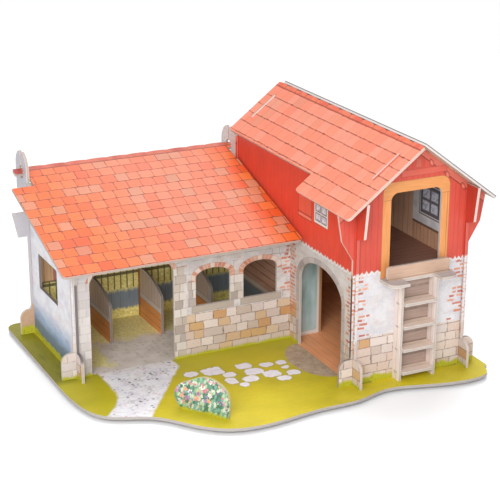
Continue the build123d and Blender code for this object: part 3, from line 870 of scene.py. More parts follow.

# %% [markdown]
# The wing's gable
#
# This wall is whitewashed, with a blue shadow washed over its foot and a dark plinth under that. The
# cut edge is tinted dark round its window, and at the front of its card, where it is painted shade. Its loop
# behind the building, which carries the roof, is bare grey.

# %% Dress the wing's gable


def dress_wing_gable():
    s = Sheet("wing_left_gable", BACKWARD, UP, LEFT)
    u, v = s.u, s.v
    colour = Used(PLASTER, u=u, v=v, cool=0.85, seed=11.0).colour
    blush = noise(u / 26, v / 12, 12.0, detail=2.0)
    colour = over(colour, ink("#E3C9CB"), blush.fade(0.54, 0.7) * 0.4)
    level = v + (noise(u / 14, v / 6, 3.0) - 0.5) * 10
    walled = soft(u - 152, 6.0) * soft(BARN_DEPTH - u, 1.0)
    wash = blended(noise(u / 22, v / 5, 7.0), "#6E92B8", "#93ADCB", "#5E7C9E")
    colour = over(colour, wash, level.fade(46.0, 26.0) * walled * 0.85)
    plinth = mottled(ink("#62727A"), noise(u / 7, v / 3, 14.0, detail=4.0), 0.5)
    colour = over(colour, plinth, level.fade(25.0, 16.0) * walled * 0.8)
    stones = Used(STONES, u=u, v=v, height=9.0, length=13.0, ochre=0.08, seed=15.0)
    colour = over(colour, stones.colour, soft(WING_FRONT - u + 0.5, 0.3) * soft(27 - v, 2.0))
    window_rim = box_depth(u, v, 189.0, 249.0, 61.5, 101.0, 1.5)
    dark = mottled(ink("#5E524C"), noise(u / 3, v / 3, 8.0), 0.4)
    colour = over(colour, dark, soft(window_rim) * 0.85)
    colour = grow_grass(colour, u, v, 13.0, 9.0)
    loop = mottled(ink("#BFBBC1"), noise(u / 8, v / 8, 4.0, detail=3.0), 0.16)
    colour = over(colour, loop, soft(u - BARN_DEPTH - 4) * soft(v - 60))
    inside = boards(u, v, 9.0, "#B98A60", "#8A5A3A", 4.0)
    # The cut edge at the card's front is tinted dark as painted shade; round the window it is tinted dark too
    shaded_front_edge = soft(WING_FRONT + 1 - u, 0.5) * soft(v - 22, 2.0) * soft(103 - v, 1.0)
    window_edge = soft(box_depth(u, v, 186.0, 252.0, 58.0, 104.0))
    tinted = (shaded_front_edge * 0.8).most(window_edge * 0.7)
    s.finish(colour, stand_out(colour, inside, u, WING_FRONT, BARN_DEPTH + 3), ink("#5C5458"), tinted)


dress_wing_gable()

# %% [markdown]
# The wing's back wall
#
# Seen through the arch and the windows, the inside of this wall is slate blue, with hay on the floor and
# a rack of hay behind wooden bars. The hay is two noises drawn out along crossing directions, which read
# as stalks. Outside it is a plain stone and plaster wall. Past the corner, its foot and lug show.

# %% Dress the wing's back wall
SHELF, SHELF_END = 57, -204


def hay(u, v, seed):
    """Loose hay: stalks that cross in two directions."""
    lean = noise((u + v) / 1.1, (u - v) / 9, seed, detail=3.0)
    cross = noise((u - v) / 1.1, (u + v) / 9, seed + 3, detail=3.0)
    stalks = lean * 0.6 + cross * 0.5
    return blended(stalks, "#A99E50", "#DACD74", "#F4E894", "#FFF8C4", low=0.36)


def rack_wall(u, v, seed, low=33.0, high=104.0, pitch=7.6):
    """The stable's back wall: a slate-blue wall, hay on the floor, and a rack of hay behind bars."""
    slate = boards(u, v, 11.0, "#8896A2", "#626F7B", seed, gap=0.4)
    straw = hay(u, v, seed)
    ragged = (noise(u / 3.5, seed, detail=3.0) - 0.5) * 11
    colour = over(slate, straw, soft(v - low - ragged, 2.5) * soft(high - v, 1.0))
    colour = over(colour, straw, soft(11 + ragged - v, 1.5))
    bar = from_joint((u / pitch).fract(), pitch)
    wood = shade(ink("#5E553C"), noise(u / 1.2, v / 12, seed + 2) * 0.9 + 0.6)
    colour = over(colour, wood, bar.fade(0.95, 0.55) * soft(v - low - 2) * soft(high - v) * 0.9)
    rail = (v - low - 20).size().least((v - high).size())
    # The whole wall is lifted by 1.4 as painted light, since little lamp light reaches the stable
    return shade(over(colour, wood, rail.fade(1.9, 1.5) * 0.9), 1.4)


def wing_back_outside(u, v):
    colour = masonry(u, v, 21.0, ochre=0.2, cool=0.3, ghosts=0.6)
    drift = (noise(u / 20, v / 12, 24.0) - 0.5) * 70
    colour = brick_strokes(colour, u, v, drift.least(v - 46), 0.6, 25.0, 0.8)
    lug = mottled(ink("#C3BFC4"), noise(u / 8, v / 8, 4.0, detail=3.0), 0.16)
    foot = mottled(ink("#D2AC8C"), noise(u / 6, v / 3, 16.0, detail=3.0), 0.3)
    colour = over(colour, over(foot, lug, soft(v - 35.0, 1.5)), soft(WING_END - u, 0.1))
    return grow_grass(colour, u, v, 22.0, 12.0)


def dress_wing_back():
    s = Sheet("wing_back_wall", RIGHT, UP, BACKWARD)
    u, v = s.u, s.v
    outside = wing_back_outside(u, v)
    # Boards over a shelf at the left end of the stable
    tan = boards(u, v, 8.0, "#FFD2A0", "#D9A374", 26.0)
    mauve = boards(u, v, 20.0, "#D88A84", "#B06464", 27.0)
    # The boards are lifted by a fifth as painted light, since little lamp light reaches the stable
    panel = shade(over(tan, mauve, soft(u + 223, 0.4)), 1.2)
    inside = rack_wall(u, v, 23.0)
    end = soft(SHELF_END - u, 0.4)
    inside = over(inside, panel, soft(v - SHELF - (noise(u / 5, 28.0) - 0.5) * 5, 0.8) * end)
    inside = over(inside, ink("#5E4A34"), (v - SHELF).size().fade(1.4, 0.8) * end * 0.7)
    s.finish(outside, stand_out(outside, inside, u, WING_END, 999.0))


dress_wing_back()

# %% [markdown]
# The tall barn
#
# Its walls are stone at the foot, plaster over that, and boarded in red from the loft up. The boards end
# in a ragged line, where the brush has left points over the plaster. A sawtooth whose height wanders
# with a noise gives the points.

# %% Red boards over plaster
BOARDS_LOW = 121.0


def red_boards(u, v, seed, light="#EC5A44", dark="#CB3F2D", line=0.45, width=6.4):
    return boards(u, v, width, light, dark, seed, gap=0.55, line=line)


def over_boards(colour, u, v, seed, boarding, pitch=5.8):
    """Boards above the loft line, their pointed ends over a white lip."""
    beat = (u / pitch + noise(u / 17, seed, detail=1.0) * 1.5).fract()
    uneven = noise(u / 9, seed + 2, detail=1.0) * 1.2 + 0.4
    tooth = (beat - 0.5).size() * 5.5 * uneven + (noise(u / 1.8, seed, detail=2.0) - 0.5) * 4.5 - 2.2
    height = v - BOARDS_LOW - tooth
    colour = over(colour, ink("#F4EAE5"), height.fade(-3.0, -2.0) * 0.8)
    colour = over(colour, ink("#A45E50"), height.fade(-0.9, -0.3) * 0.6)
    return over(colour, boarding, soft(height, 0.3))


print("red boards start at", BOARDS_LOW, "mm")

# %% [markdown]
# A cottage window and its shutter
#
# The barn's small windows are printed, not cut. One has a shutter beside it. The window is a rounded box
# whose depth gives the frame, and the distance to its two middle lines gives the bars, each with a dark
# line beside it as a shadow.

# %% The printed window


def cottage_window(colour, u, v, left, right, low, high, paint="#EFE8DE", bar=0.7):
    """A small window of four panes in a pale frame."""
    frame_depth = box_depth(u, v, left, right, low, high, 0.6)
    glass = noise(u / 5 + v / 7, v / 6, 3.0, detail=2.0)
    sky = blended(glass, "#B4B4C2", "#CECEDA", "#EAEAF0", "#C2C3D0", low=0.36, high=0.64)
    middle_u = (left + right) / 2
    middle_v = (low + high) / 2
    bars = (u - middle_u).size().least((v - middle_v).size()).least(frame_depth - 2.4)
    painted = mottled(ink(paint), noise(u / 1.5, v / 1.5, 3.0, detail=3.0), 0.14)
    pane = over(sky, ink("#4A4044"), bars.fade(bar + 1.5, bar + 0.8) * 0.8)
    pane = over(pane, painted, bars.fade(bar, bar - 0.3))
    pane = over(pane, ink("#5E4438"), frame_depth.fade(0.8, 0.4) * 0.85)
    return over(colour, pane, soft(frame_depth, 0.2))


def hang_shutter(colour, u, v):
    shutter = box_depth(u, v, 91.5, 122.0, 147.0, 172.5, 0.6)
    leaf = red_boards(u, v, 33.0, "#F56A50", "#DD4E38", width=12.0)
    leaf = over(leaf, ink("#FF9C84"), soft(151.5 - v) * 0.5)
    leaf = over(leaf, ink("#8E2C20"), (v - 152).size().fade(1.0, 0.4) * 0.8)
    leaf = over(leaf, ink("#8A2A1E"), shutter.fade(1.2, 0.6) * 0.9)
    return over(colour, leaf, soft(shutter, 0.2))


print("printed:", cottage_window.__name__, hang_shutter.__name__)

# %% [markdown]
# Inside the barn
#
# The doorway and the loft opening show the inside faces. Below they are brown boards. In the loft they
# are plaster over a boarded foot, with a plain window in some of the walls. The light reaches the loft
# only through its opening, so its inks are a little brighter than they would be outside.

# %% The inside faces
LOFT_LEVEL, WAINSCOT_TOP = 108, 130


def barn_inside(u, v, seed, window_left=None):
    """Brown boards below; plaster over a boarded foot in the loft, with a window in some of the walls."""
    low = boards(u, v, 9.0, "#ECA06A", "#AE6C3E", seed)
    plaster = Used(PLASTER, u=u, v=v, cool=0.4, seed=seed + 1).colour
    foot = boards(u, v, 7.0, "#D9A888", "#A07458", seed + 2)
    loft = over(plaster, foot, soft(WAINSCOT_TOP - v))
    loft = over(loft, ink("#7A5C48"), (v - (WAINSCOT_TOP + 0.5)).size().fade(1.6, 1.2))
    if window_left is not None:
        loft = cottage_window(loft, u, v, window_left, window_left + 37, 144.0, 176.0, "#6E6468", 0.5)
        frame_line = box_depth(u, v, window_left - 2, window_left + 39, 142.0, 178.0, 0.6)
        loft = over(loft, ink("#5E4A40"), frame_line.size().fade(1.1, 0.6) * 0.8)
        loft = over(loft, boards(u, v, 10.0, "#F0C0A0", "#B88A6C", seed), soft(u - window_left - 52))
    return over(low, shade(loft, 1.35), soft(v - LOFT_LEVEL))


print("loft floor at", LOFT_LEVEL, "mm, its boarded foot up to", WAINSCOT_TOP)

# %% [markdown]
# The barn's side walls
#
# Both walls are printed alike outside, but only the left one has the arched doorway, with a band of grey
# stone, and a window with a shutter. Behind the wing's roof line the left wall is the end of the stable,
# with level planks and hay. The front edges of both walls are seen beside the front gable, so they carry
# its colours.

# %% The outside of the side walls
DOOR = dict(middle=71.5, half=46.0, spring=78.0, rise=27.0, pitch=11.0)
WING_ROOF_LOW, WING_ROOF_SLOPE = 128.0, math.tan(math.radians(16.6))
HOUSE_WINDOW_HEIGHTS = (149.5, 174.5)


def barn_side_outside(u, v, seed, door):
    colour = masonry(u, v, seed, ochre=0.2, stone_top=46.0, cool=0.25, ghosts=0.5)
    if door:
        warmth = noise(u / 16, v / 12, 38.0, detail=3.0) * 0.3 * soft(v - 50, 6.0) + 0.1
        colour = over(colour, ink("#C6B5A2"), warmth)
        ends = (20 - u).most(14 - (u - WING_FRONT + 3).size())
    else:
        patches = (noise(u / 22, v / 12, seed + 3) - 0.56) * 60
        ends = (20 - u).most(u - BARN_DEPTH + 20).most(patches)
    colour = brick_strokes(colour, u, v, ends.least(v - 30).least(118 - v), 0.85, seed + 1)
    if door:
        arch = Used(ARCHED, u=u, v=v, seed=seed, **DOOR)
        colour = lay_band(colour, arch, v, -9.0, 6.5, STONE_TONES, "#84766E", "#5E5048")
    colour = grow_grass(colour, u, v, seed)
    boarding = red_boards(u, v, seed, "#F2523B", "#D83C28", line=0.25, width=9.0)
    # The red boards darken under the eaves, partly print and partly painted shade, and towards the front end
    boarding = shade(boarding, 1 - v.fade(160, 192) * 0.16 - u.fade(40, 10) * 0.1)
    return over_boards(colour, u, v, seed, boarding, 6.8)


def stable_end(u, v):
    """The left wall where it closes the stable: level planks over a grey foot, a rail, and hay."""
    low_wall = boards(v, u, 9.0, "#DDAE94", "#B07258", 34.0, gap=0.9, line=0.9)
    low_wall = over(low_wall, ink("#7C8A94"), soft(30 - v, 0.6))
    low_wall = over(low_wall, ink("#D8CABA"), (v - 34).size().fade(2.6, 2.2))
    return over(low_wall, hay(u, v, 35.0), soft(9 + (noise(u / 3, 2.0) - 0.5) * 6 - v, 1.0))


print("doorway", 2 * DOOR["half"], "mm wide")

# %% [markdown]
# Edges that borrow the gable's print
#
# In the photo the side walls end behind the front gable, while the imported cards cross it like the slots
# of a box. The visible ends are therefore tinted in bands: pale plaster with a few bricks, and red where
# the boards start. That keeps the corner looking whole.

# %% Dress the side walls


def front_rim(v, seed):
    """The tint of a side wall's front edge: like the gable that it passes through."""
    bricks = noise(v / 2.6, seed, detail=0.0).fade(0.58, 0.62) * soft(v - 54) * soft(116 - v)
    rim = over(ink("#E6DFDC"), ink("#D4C4BA"), soft(STONE_TOP - v, 2.0))
    rim = over(rim, ink("#D9846A"), bricks * 0.7)
    rim = over(rim, ink("#DA5544"), soft(v - BOARDS_LOW, 1.0))
    return over(rim, ink("#EACBC2"), soft(v - 157, 0.5))


def dress_barn_left():
    s = Sheet("barn_left_wall", BACKWARD, UP, LEFT)
    u, v = s.u, s.v
    colour = barn_side_outside(u, v, 31.0, True)
    colour = cottage_window(colour, u, v, 57.0, 87.0, *HOUSE_WINDOW_HEIGHTS)
    colour = hang_shutter(colour, u, v)
    wing_roof = WING_ROOF_LOW + (u - WING_FRONT) * WING_ROOF_SLOPE
    stable = soft(u - WING_FRONT - CARD) * soft(wing_roof - v) * soft(BARN_DEPTH + 3 - u)
    colour = over(colour, stable_end(u, v), stable)
    loop = blended(noise(u / 3, v / 4, 4.0, detail=3.0), "#B8A9AC", "#D6C3C0", "#E6D2CC", "#C49A90")
    colour = over(colour, loop, soft(u - BARN_DEPTH - 4) * soft(v - 60))
    inside = stand_out(colour, barn_inside(u, v, 36.0), u, 0.0, BARN_DEPTH)
    s.finish(colour, inside, front_rim(v, 37.0), soft(24 - u, 4.0) * 0.9)


def dress_barn_right():
    s = Sheet("barn_right_wall", BACKWARD, UP, RIGHT)
    u, v = s.u, s.v
    colour = barn_side_outside(u, v, 41.0, False)
    colour = cottage_window(colour, u, v, 172.0, 202.0, *HOUSE_WINDOW_HEIGHTS)
    inside = barn_inside(u, v, 42.0, window_left=47.0)
    # Where the wall stands out past the front gable, its inner face carries the outside print darkened as
    # painted shade
    inside = stand_out(shade(colour, 0.82), inside, u, 0.0, BARN_DEPTH)
    s.finish(colour, inside, front_rim(v, 43.0), soft(24 - u, 4.0) * 0.9)


dress_barn_left()
dress_barn_right()

# %% [markdown]
# The timbers of the gables
#
# Under the roof the gables show painted timbers: rafters with the round ends of three purlins on each
# side, a collar across and a short post. A point's distance under the sloping top edge is one line of
# trigonometry, and the rest is measured from it.

# %% Rafters, purlin ends and beams
OPENING = dict(left=39.3, right=98.5, low=100.0, high=199.0, radius=8.0)
BARN_SLOPE = math.radians(37.0)
UNDER_RIDGE = 247.5
RAFTER, PURLIN_FIRST, PURLIN_PITCH = 6.5, 19.0, 19.5


def gable_beams(colour, u, v, seed):
    """Painted timbers under the roof: rafters with the ends of three purlins."""
    out = (u - BARN_WIDTH / 2).size()
    below = (UNDER_RIDGE - out * math.tan(BARN_SLOPE) - v) * math.cos(BARN_SLOPE)
    timber = boards(below, u, 60.0, "#E47C68", "#C64E3E", seed)
    colour = over(colour, timber, soft(RAFTER - below))
    colour = over(colour, ink("#7E281C"), (below - RAFTER).size().fade(0.8, 0.3) * 0.85)
    step = (out - PURLIN_FIRST) / PURLIN_PITCH
    ring = (step - step.whole()) * PURLIN_PITCH
    dot = (ring * ring + (below - RAFTER) * (below - RAFTER)).root()
    inside = soft(step + 0.5) * soft(2.4 - step)
    end_grain = over(ink("#EA8470"), ink("#B8483A"), (dot / 2.6).fade(0.2, 1.1))
    colour = over(colour, end_grain, soft(2.7 - dot) * inside)
    return over(colour, ink("#7E281C"), (dot - 2.7).size().fade(0.6, 0.2) * inside * 0.6)


def beam(colour, u, v, left, right, low, high, light="#E66E5A", dark="#C64838", line="#7E281C"):
    depth = box_depth(u, v, left, right, low, high, 0.6)
    run, rise = (v, u) if right - left > high - low else (u, v)
    timber = boards(run, rise, 60.0, light, dark, left)
    timber = over(timber, ink(line), depth.fade(0.7, 0.25) * 0.6)
    return over(colour, timber, soft(depth, 0.2))


def barn_gable(u, v, seed, ochre, ghosts):
    """What both gables share: stones, plaster, and strokes of brick at the two corners."""
    colour = masonry(u, v, seed, ochre=ochre, stone_top=50.0, cool=0.6, ghosts=ghosts)
    sides = (18.5 - u).most(u - BARN_WIDTH + 20).least(v - 51)
    return brick_strokes(colour, u, v, sides, 0.8, seed + 1)


def gable_boards(colour, u, v, seed):
    boarding = gable_beams(red_boards(u, v, seed, "#DF5744", "#C64032"), u, v, seed + 1)
    return over_boards(colour, u, v, seed + 2, boarding)


print("three purlins each side,", PURLIN_PITCH, "mm apart")

# %% [markdown]
# The front gable
#
# The loft opening has an orange frame of two posts and a bent head, and boards show behind the ladder.
# The gable's cut ends get a tint of their own: dark beside the plaster, as painted shade, and pale pink
# where they lean out under the roof.

# %% Dress the front gable
ORANGE = dict(light="#F2A662", dark="#D07C3E", line="#84421E")
POST_LOW, POST_HIGH, FRAME_LEFT, FRAME_RIGHT = 108.0, 199.5, 29.5, 108.0


def frame_opening(colour, u, v):
    colour = beam(colour, u, v, FRAME_LEFT, OPENING["left"] + 1, POST_LOW, POST_HIGH, **ORANGE)
    colour = beam(colour, u, v, OPENING["right"] - 1, FRAME_RIGHT, POST_LOW, POST_HIGH, **ORANGE)
    outer = box_depth(u, v, FRAME_LEFT, FRAME_RIGHT, 150.0, 210.5, 11.0).least(v - 192)
    head = outer.least(box_depth(u, v, **OPENING) * -1 + 0.5)
    timber = boards(v, u, 60.0, ORANGE["light"], ORANGE["dark"], 58.0)
    timber = over(timber, ink(ORANGE["line"]), outer.fade(0.7, 0.25) * 0.6)
    return over(colour, timber, soft(head, 0.2))


def dress_front_gable():
    s = Sheet("barn_front_gable", RIGHT, UP, FORWARD)
    u, v = s.u, s.v
    colour = barn_gable(u, v, 51.0, 0.1, 0.15)
    behind = boards(v, u, 12.5, "#C4AC9E", "#8A6E62", 53.0, gap=2.0, line=0.5)
    colour = over(colour, behind, soft(box_depth(u, v, 56.0, 93.0, 3.0, 106.0, 1.0)))
    colour = grow_grass(colour, u, v, 54.0, 9.0)
    colour = gable_boards(colour, u, v, 55.0)
    colour = beam(colour, u, v, 50.0, 103.0, 214.0, 221.0)
    colour = beam(colour, u, v, 66.0, 73.0, 222.0, 232.0)
    colour = frame_opening(colour, u, v)
    inside = stand_out(colour, barn_inside(u, v, 59.0), u, 0.0, BARN_WIDTH)
    # The cut ends: dark below the boards as painted shade, pale pink above them
    rim = over(ink("#4A3E38"), ink("#E4BCB0"), soft(v - 118, 3.0))
    rim = over(rim, ink("#A89C96"), soft(30 - v, 4.0))
    ends = soft((10 - u).most(u - BARN_WIDTH + 10), 1.0) * 0.95
    s.finish(colour, inside, rim, ends.most(soft(v - 205, 2.0)))


dress_front_gable()

# %% [markdown]
# The back gable
#
# The photo doesn't show it. It gets the same stones, plaster and boards, and one plain window, so that
# the toy looks finished from behind too.

# %% Dress the back gable


def dress_back_gable():
    s = Sheet("barn_back_gable", RIGHT, UP, BACKWARD)
    u, v = s.u, s.v
    colour = barn_gable(u, v, 61.0, 0.2, 0.3)
    colour = grow_grass(colour, u, v, 64.0)
    colour = gable_boards(colour, u, v, 65.0)
    colour = cottage_window(colour, u, v, 45.0, 86.0, 160.0, 194.0)
    inside = stand_out(colour, barn_inside(u, v, 68.0, window_left=47.0), u, 0.0, BARN_WIDTH)
    s.finish(colour, inside, ink("#DDA88E"), soft(v - 205, 2.0))


dress_back_gable()

# %% [markdown]
# The barn's roof
#
# The tiles run in rows across each slope, so their print is measured along the slope and not straight
# up. Each slope's own direction is read from the largest face of its card. A row of ridge tiles runs
# along the top. Two tabs of the gables pass through each slope, and their slots are cut in the card.

# %% Dress the barn's slopes
RIDGE_ROW, RIDGE_PITCH = 10.2, 24.4


def upper_normal(name):
    """The direction in which a sloping card's upper face looks."""
    faces = [face for face in nodes[name].data.polygons if face.normal.z > 0.1]
    return max(faces, key=lambda face: face.area).normal.copy()


def rafters(s, seed):
    """The underside of a roof: pale boards."""
    return boards(s.u, s.v, 15.0, "#D9C8B4", "#B39E88", seed)


def ridge_tiles(u, v, seed):
    tone = blended(noise(u / 24, seed), "#EE6E4E", "#F4805E", "#E8644A", low=0.35, high=0.65)
    colour = mottled(tone, noise(u / 5, v / 3, seed, detail=3.0), 0.26)
    end = from_joint((u / RIDGE_PITCH).fract(), RIDGE_PITCH)
    colour = over(colour, ink("#A8432E"), end.fade(1.0, 0.3) * 0.6)
    return over(colour, ink("#9C3A26"), (v - 9.6).size().fade(1.2, 0.4) * 0.8)


def dress_barn_slope(name, seed, edge, tinted, outline=None):
    """The outline is a dark line on the cut edge, along the slope's upper face."""
    out = upper_normal(name)
    ridge = Vector((corner.x + BARN_WIDTH / 2 * MM, corner.y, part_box("barn_roof_right")[1].z))
    down = out.cross(BACKWARD) if out.cross(BACKWARD).z < 0 else BACKWARD.cross(out)
    s = Sheet(name, BACKWARD, down, out, ridge)
    u, v = s.u, s.v
    tiles = Used(
        TILES, u=u, v=10.0 - v, height=14.4, length=15.5, pale=1.0, joints=0.45, grey=0.25, seed=seed
    ).colour
    rim = ink(edge)
    if outline is not None:
        under = s.front_face - s.measure(s.out)
        rim = over(rim, ink(outline), under.fade(1.3, 0.9) * 0.85)
    tiles = over(tiles, ridge_tiles(u, v, seed), soft(RIDGE_ROW - v, 0.3))
    s.finish(tiles, rafters(s, seed + 1), rim, tinted)


dress_barn_slope("barn_roof_left", 75.0, "#E8BEAE", 0.6)
dress_barn_slope("barn_roof_right", 77.0, "#E2DCDA", 0.855, outline="#5C524E")

# %% [markdown]
# The wing's roof
#
# This lid has the same tiles in strong orange at its left end and beside the barn, and pink between
# them. Its top row is darker, and the tongues on which it turns are dark red.

# %% Dress the wing's roof
RIDGE_START, TONGUE_START = 196.5, 186


def dress_wing_lid():
    name = "wing_roof_lid"
    out = upper_normal(name)
    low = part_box(name)[0]
    up = RIGHT.cross(out) if RIGHT.cross(out).z > 0 else out.cross(RIGHT)
    s = Sheet(name, RIGHT, up, out, Vector((corner.x, low.y, low.z)))
    u, v = s.u, s.v
    pale = (u + v * 0.25).fade(-200.0, -90.0).least(u.fade(-18.0, -46.0)) * 0.68
    tiles = Used(TILES, u=u, v=v - 2.0, height=15.1, length=14.8, pale=pale, joints=1.0, seed=71.0).colour
    tone = blended(noise(u / 24, 72.0), "#D9604A", "#E27458", "#C9553F", low=0.35, high=0.65)
    ridge = mottled(tone, noise(u / 5, v / 3, 73.0, detail=3.0), 0.26)
    tiles = over(tiles, ridge, soft(v - RIDGE_START, 0.4))
    tiles = over(tiles, ink("#8E3522"), (v - RIDGE_START).size().fade(1.2, 0.5) * 0.8)
    tongue = mottled(ink("#B8453C"), noise(u / 3, v / 3, 75.0, detail=3.0), 0.5)
    tiles = over(tiles, tongue, soft(WING_END - u, 0.2) * soft(v - TONGUE_START, 0.2))
    # Its cut edge is tinted grey-brown as painted shade under the eave
    s.finish(tiles, rafters(s, 74.0), ink("#B3A197"), 0.7)


dress_wing_lid()

# %% [markdown]
# The lawn and its flat stones
#
# The base board is a lawn, with painted shade along the wing, and darker behind it, partly print and
# partly painted shade. The stones lie in it as a loose group. Voronoi cells would fill the whole lawn, so
# each stone is a box with round corners at a place of its own, and one noise bends all their outlines.

# %% Lawn and slabs
SLABS = (
    (-137.5, 96, 7.5, 6.0), (-114, 92.5, 11, 9.5), (-102, 77.5, 7.5, 5.5), (-79, 91, 8.5, 7.0),
    (-75, 74, 10, 7.5), (-56, 84, 7.5, 5.5), (-39, 83, 5.5, 5.0), (-40.5, 70, 4.5, 4.5),
    (-106, 62.5, 6, 7.5), (-86, 59, 8.5, 7.0), (-98, 49, 5.5, 5.5), (-61, 61, 9.5, 7.5),
    (-54, 46, 7.5, 5.5), (-39, 55, 7, 6.5),
)


def lawn(u, v):
    colour = Used(GRASS, u=u, v=v, seed=81.0).colour
    # Along the wing's front the lawn is darkened as painted shade, and it is greener at the left
    near = (WING_FRONT - v).fade(60.0, 2.0) * (u < 0) * (v < WING_FRONT)
    side = u.fade(-200.0, -235.0) * (v < WING_FRONT)
    colour = over(colour, ink("#B2B022"), near.most(side * 0.6) * 0.65)
    # Behind the wing the lawn turns dark olive, partly print and partly painted shade
    shady = soft(WING_END - 1 - u, 1.0) * (v - 132).fade(-6.0, 8.0)
    dusk = blended(noise(u / 5, v / 24, 83.0, detail=3.0), "#706E10", "#827F16", "#66660E")
    return over(colour, dusk, shady * 0.85)


def lay_slabs(colour, u, v):
    """Each slab is given by its middle, half its width and half its depth."""
    bent_u = u + (noise(u / 8, v / 8, 8.0, detail=2.0) - 0.5) * 6
    bent_v = v + (noise(u / 8, v / 8, 9.0, detail=2.0) - 0.5) * 6
    slab = None
    for middle_u, middle_v, wide, deep in SLABS:
        sides = (middle_u - wide, middle_u + wide, middle_v - deep, middle_v + deep)
        one = box_depth(bent_u, bent_v, *sides, 5.0)
        slab = one if slab is None else slab.most(one)
    stone = blended(noise(u / 10, v / 10, 10.0), "#F4EDF5", "#FFFAFF", "#F8F1F5", low=0.35, high=0.65)
    stone = shade(stone, noise(u / 3, v / 3, 6.0, detail=3.0) * 0.12 + 1.08)
    colour = over(colour, ink("#A9A93E"), slab.fade(-1.8, -0.4) * 0.6)
    return over(colour, stone, soft(slab, 0.5))


print("slabs in the lawn:", len(SLABS))

# %% [markdown]
# The trodden way and the stable floor
#
# A pale gravelled way comes out of the wide arch and turns to the left. Its two sides are simple curves,
# made ragged with noise, and Voronoi cells scatter a few dark and a few reddish pebbles over it. In the
# stable the same ground turns sandy, with straw over it.

# %% The way and the straw
WAY_LEFT, WAY_RIGHT = -223.5, -140.5
BEND_START, FLARE_START = 92, 120


def way_depth(u, v, ragged):
    """Millimetres inside the trodden way: straight under the arch, then turning to the left."""
    bend = (BEND_START - v).most(0.0)
    left = WAY_LEFT - bend * bend * 0.0104
    right = WAY_RIGHT - (FLARE_START - v).most(0.0) * 0.72
    return (u - left).least(right - u) + ragged * 0.5


def tread_ground(colour, u, v, ragged):
    pebble = Cells(u / 7.0, v / 4.2)
    way = blended(noise(u / 18, v / 18, 12.0, detail=3.0), "#F0EBF1", "#F9F5FA", "#FFFDFF", "#F6EFEE")
    scatter = noise(u / 13, v / 11, 4.0).fade(0.46, 0.6)
    way = over(way, ink("#56505C"), (pebble.tone < 0.5) * pebble.reach.fade(0.3, 0.2) * scatter * 0.85)
    blush = noise(u / 15, v / 13, 14.0).fade(0.52, 0.62)
    way = over(way, ink("#D98F7C"), (pebble.tone > 0.55) * pebble.reach.fade(0.36, 0.2) * blush * 0.7)
    way = over(way, ink("#B4AEB6"), pebble.reach.fade(0.44, 0.6) * (scatter * 0.4 + 0.1))
    sand = blended(noise(u / 15, v / 15, 15.0, detail=4.0), "#E8DACE", "#F5E8DD", "#FFF5EC")
    sand = over(sand, ink("#8A8078"), (pebble.tone < 0.3) * pebble.reach.fade(0.3, 0.15) * 0.4)
    way = over(way, sand, (v + ragged * 2).fade(126.0, 152.0))
    way = shade(way, 1.12)
    colour = over(colour, way, soft(way_depth(u, v, ragged), 1.6) * soft(WING_FRONT + 3 - v))
    stable = (u < 0) * (v > WING_FRONT + 1) * (v < BARN_DEPTH + 3) * (u > WING_END)
    litter = (v - 214).most(16 - ((u + 214) * 1.2).size().most((v - 182).size() - 12))
    litter = litter + (noise(u / 12, v / 12, 16.0, detail=3.0) - 0.5) * 34
    # The straw is lifted by 1.3 as painted light, since little lamp light reaches the stable
    straw = shade(hay(u, v, 17.0), 1.3)
    return over(colour, over(sand, straw, soft(litter, 6.0) * 0.85), stable)


print("the way under the arch is", WAY_RIGHT - WAY_LEFT, "mm wide")

# %% [markdown]
# The doormat and the barn floor
#
# At the barn's door the grass is worn to a half round of earth, which is half an ellipse with grit in
# it. Behind the door lie brown boards. With them the base board has all its prints, and gets a grey
# underside and edge.

# %% Dress the base board
MAT_MIDDLE, MAT_REACH, MAT_HALF = 73, 31, 47


def wear_doormat(colour, u, v, ragged):
    mat_u = u / MAT_REACH
    mat_v = (v - MAT_MIDDLE) / MAT_HALF
    mat = 1 - (mat_u * mat_u + mat_v * mat_v).root()
    grit = Cells(u / 3.0, v / 3.0)
    earth = blended(noise(u / 8, v / 8, 14.0, detail=4.0), "#BBA186", "#CDB397", "#DAC2A6")
    earth = over(earth, ink("#957E68"), (grit.tone > 0.6) * grit.reach.fade(0.4, 0.2) * 0.45)
    return over(colour, earth, soft(mat * 30 + ragged * 0.3, 0.8) * (u < 4))


def dress_base():
    s = Sheet("base_board", RIGHT, BACKWARD, UP)
    u, v = s.u, s.v
    colour = lawn(u, v)
    ragged = (noise(u / 9, v / 9, 5.0, detail=3.0) - 0.5) * 9
    colour = lay_slabs(colour, u, v)
    colour = tread_ground(colour, u, v, ragged)
    colour = wear_doormat(colour, u, v, ragged)
    # The barn's floor boards are lifted by a fifth as painted light, since little lamp light reaches inside
    floor = shade(boards(u, v, 12.0, "#FFB682", "#DE8450", 18.0, line=0.4), 1.2)
    colour = over(colour, floor, (u > 0) * (u < BARN_WIDTH) * (v > 0) * (v < BARN_DEPTH))
    under = mottled(ink("#A49A92"), noise(u / 4, v / 4, 19.0, detail=3.0), 0.16)
    s.finish(colour, under, ink("#ABA6A2"), 0.7)


dress_base()

# %% [markdown]
# The loft floor, the ladder and the plank
#
# These cards are plain timber. The loft floor runs out through the front gable as a pale landing, and
# the boards of the ladder's treads run from side to side. One helper dresses them all, with u and v
# changing places where the boards lie level.

# %% Dress the timber cards


def dress_timber(name, along, up, out, light, dark, width, seed, turned=False):
    s = Sheet(name, along, up, out)
    run, rise = (s.v, s.u) if turned else (s.u, s.v)
    colour = boards(run, rise, width, light, dark, seed)
    s.finish(colour, colour)


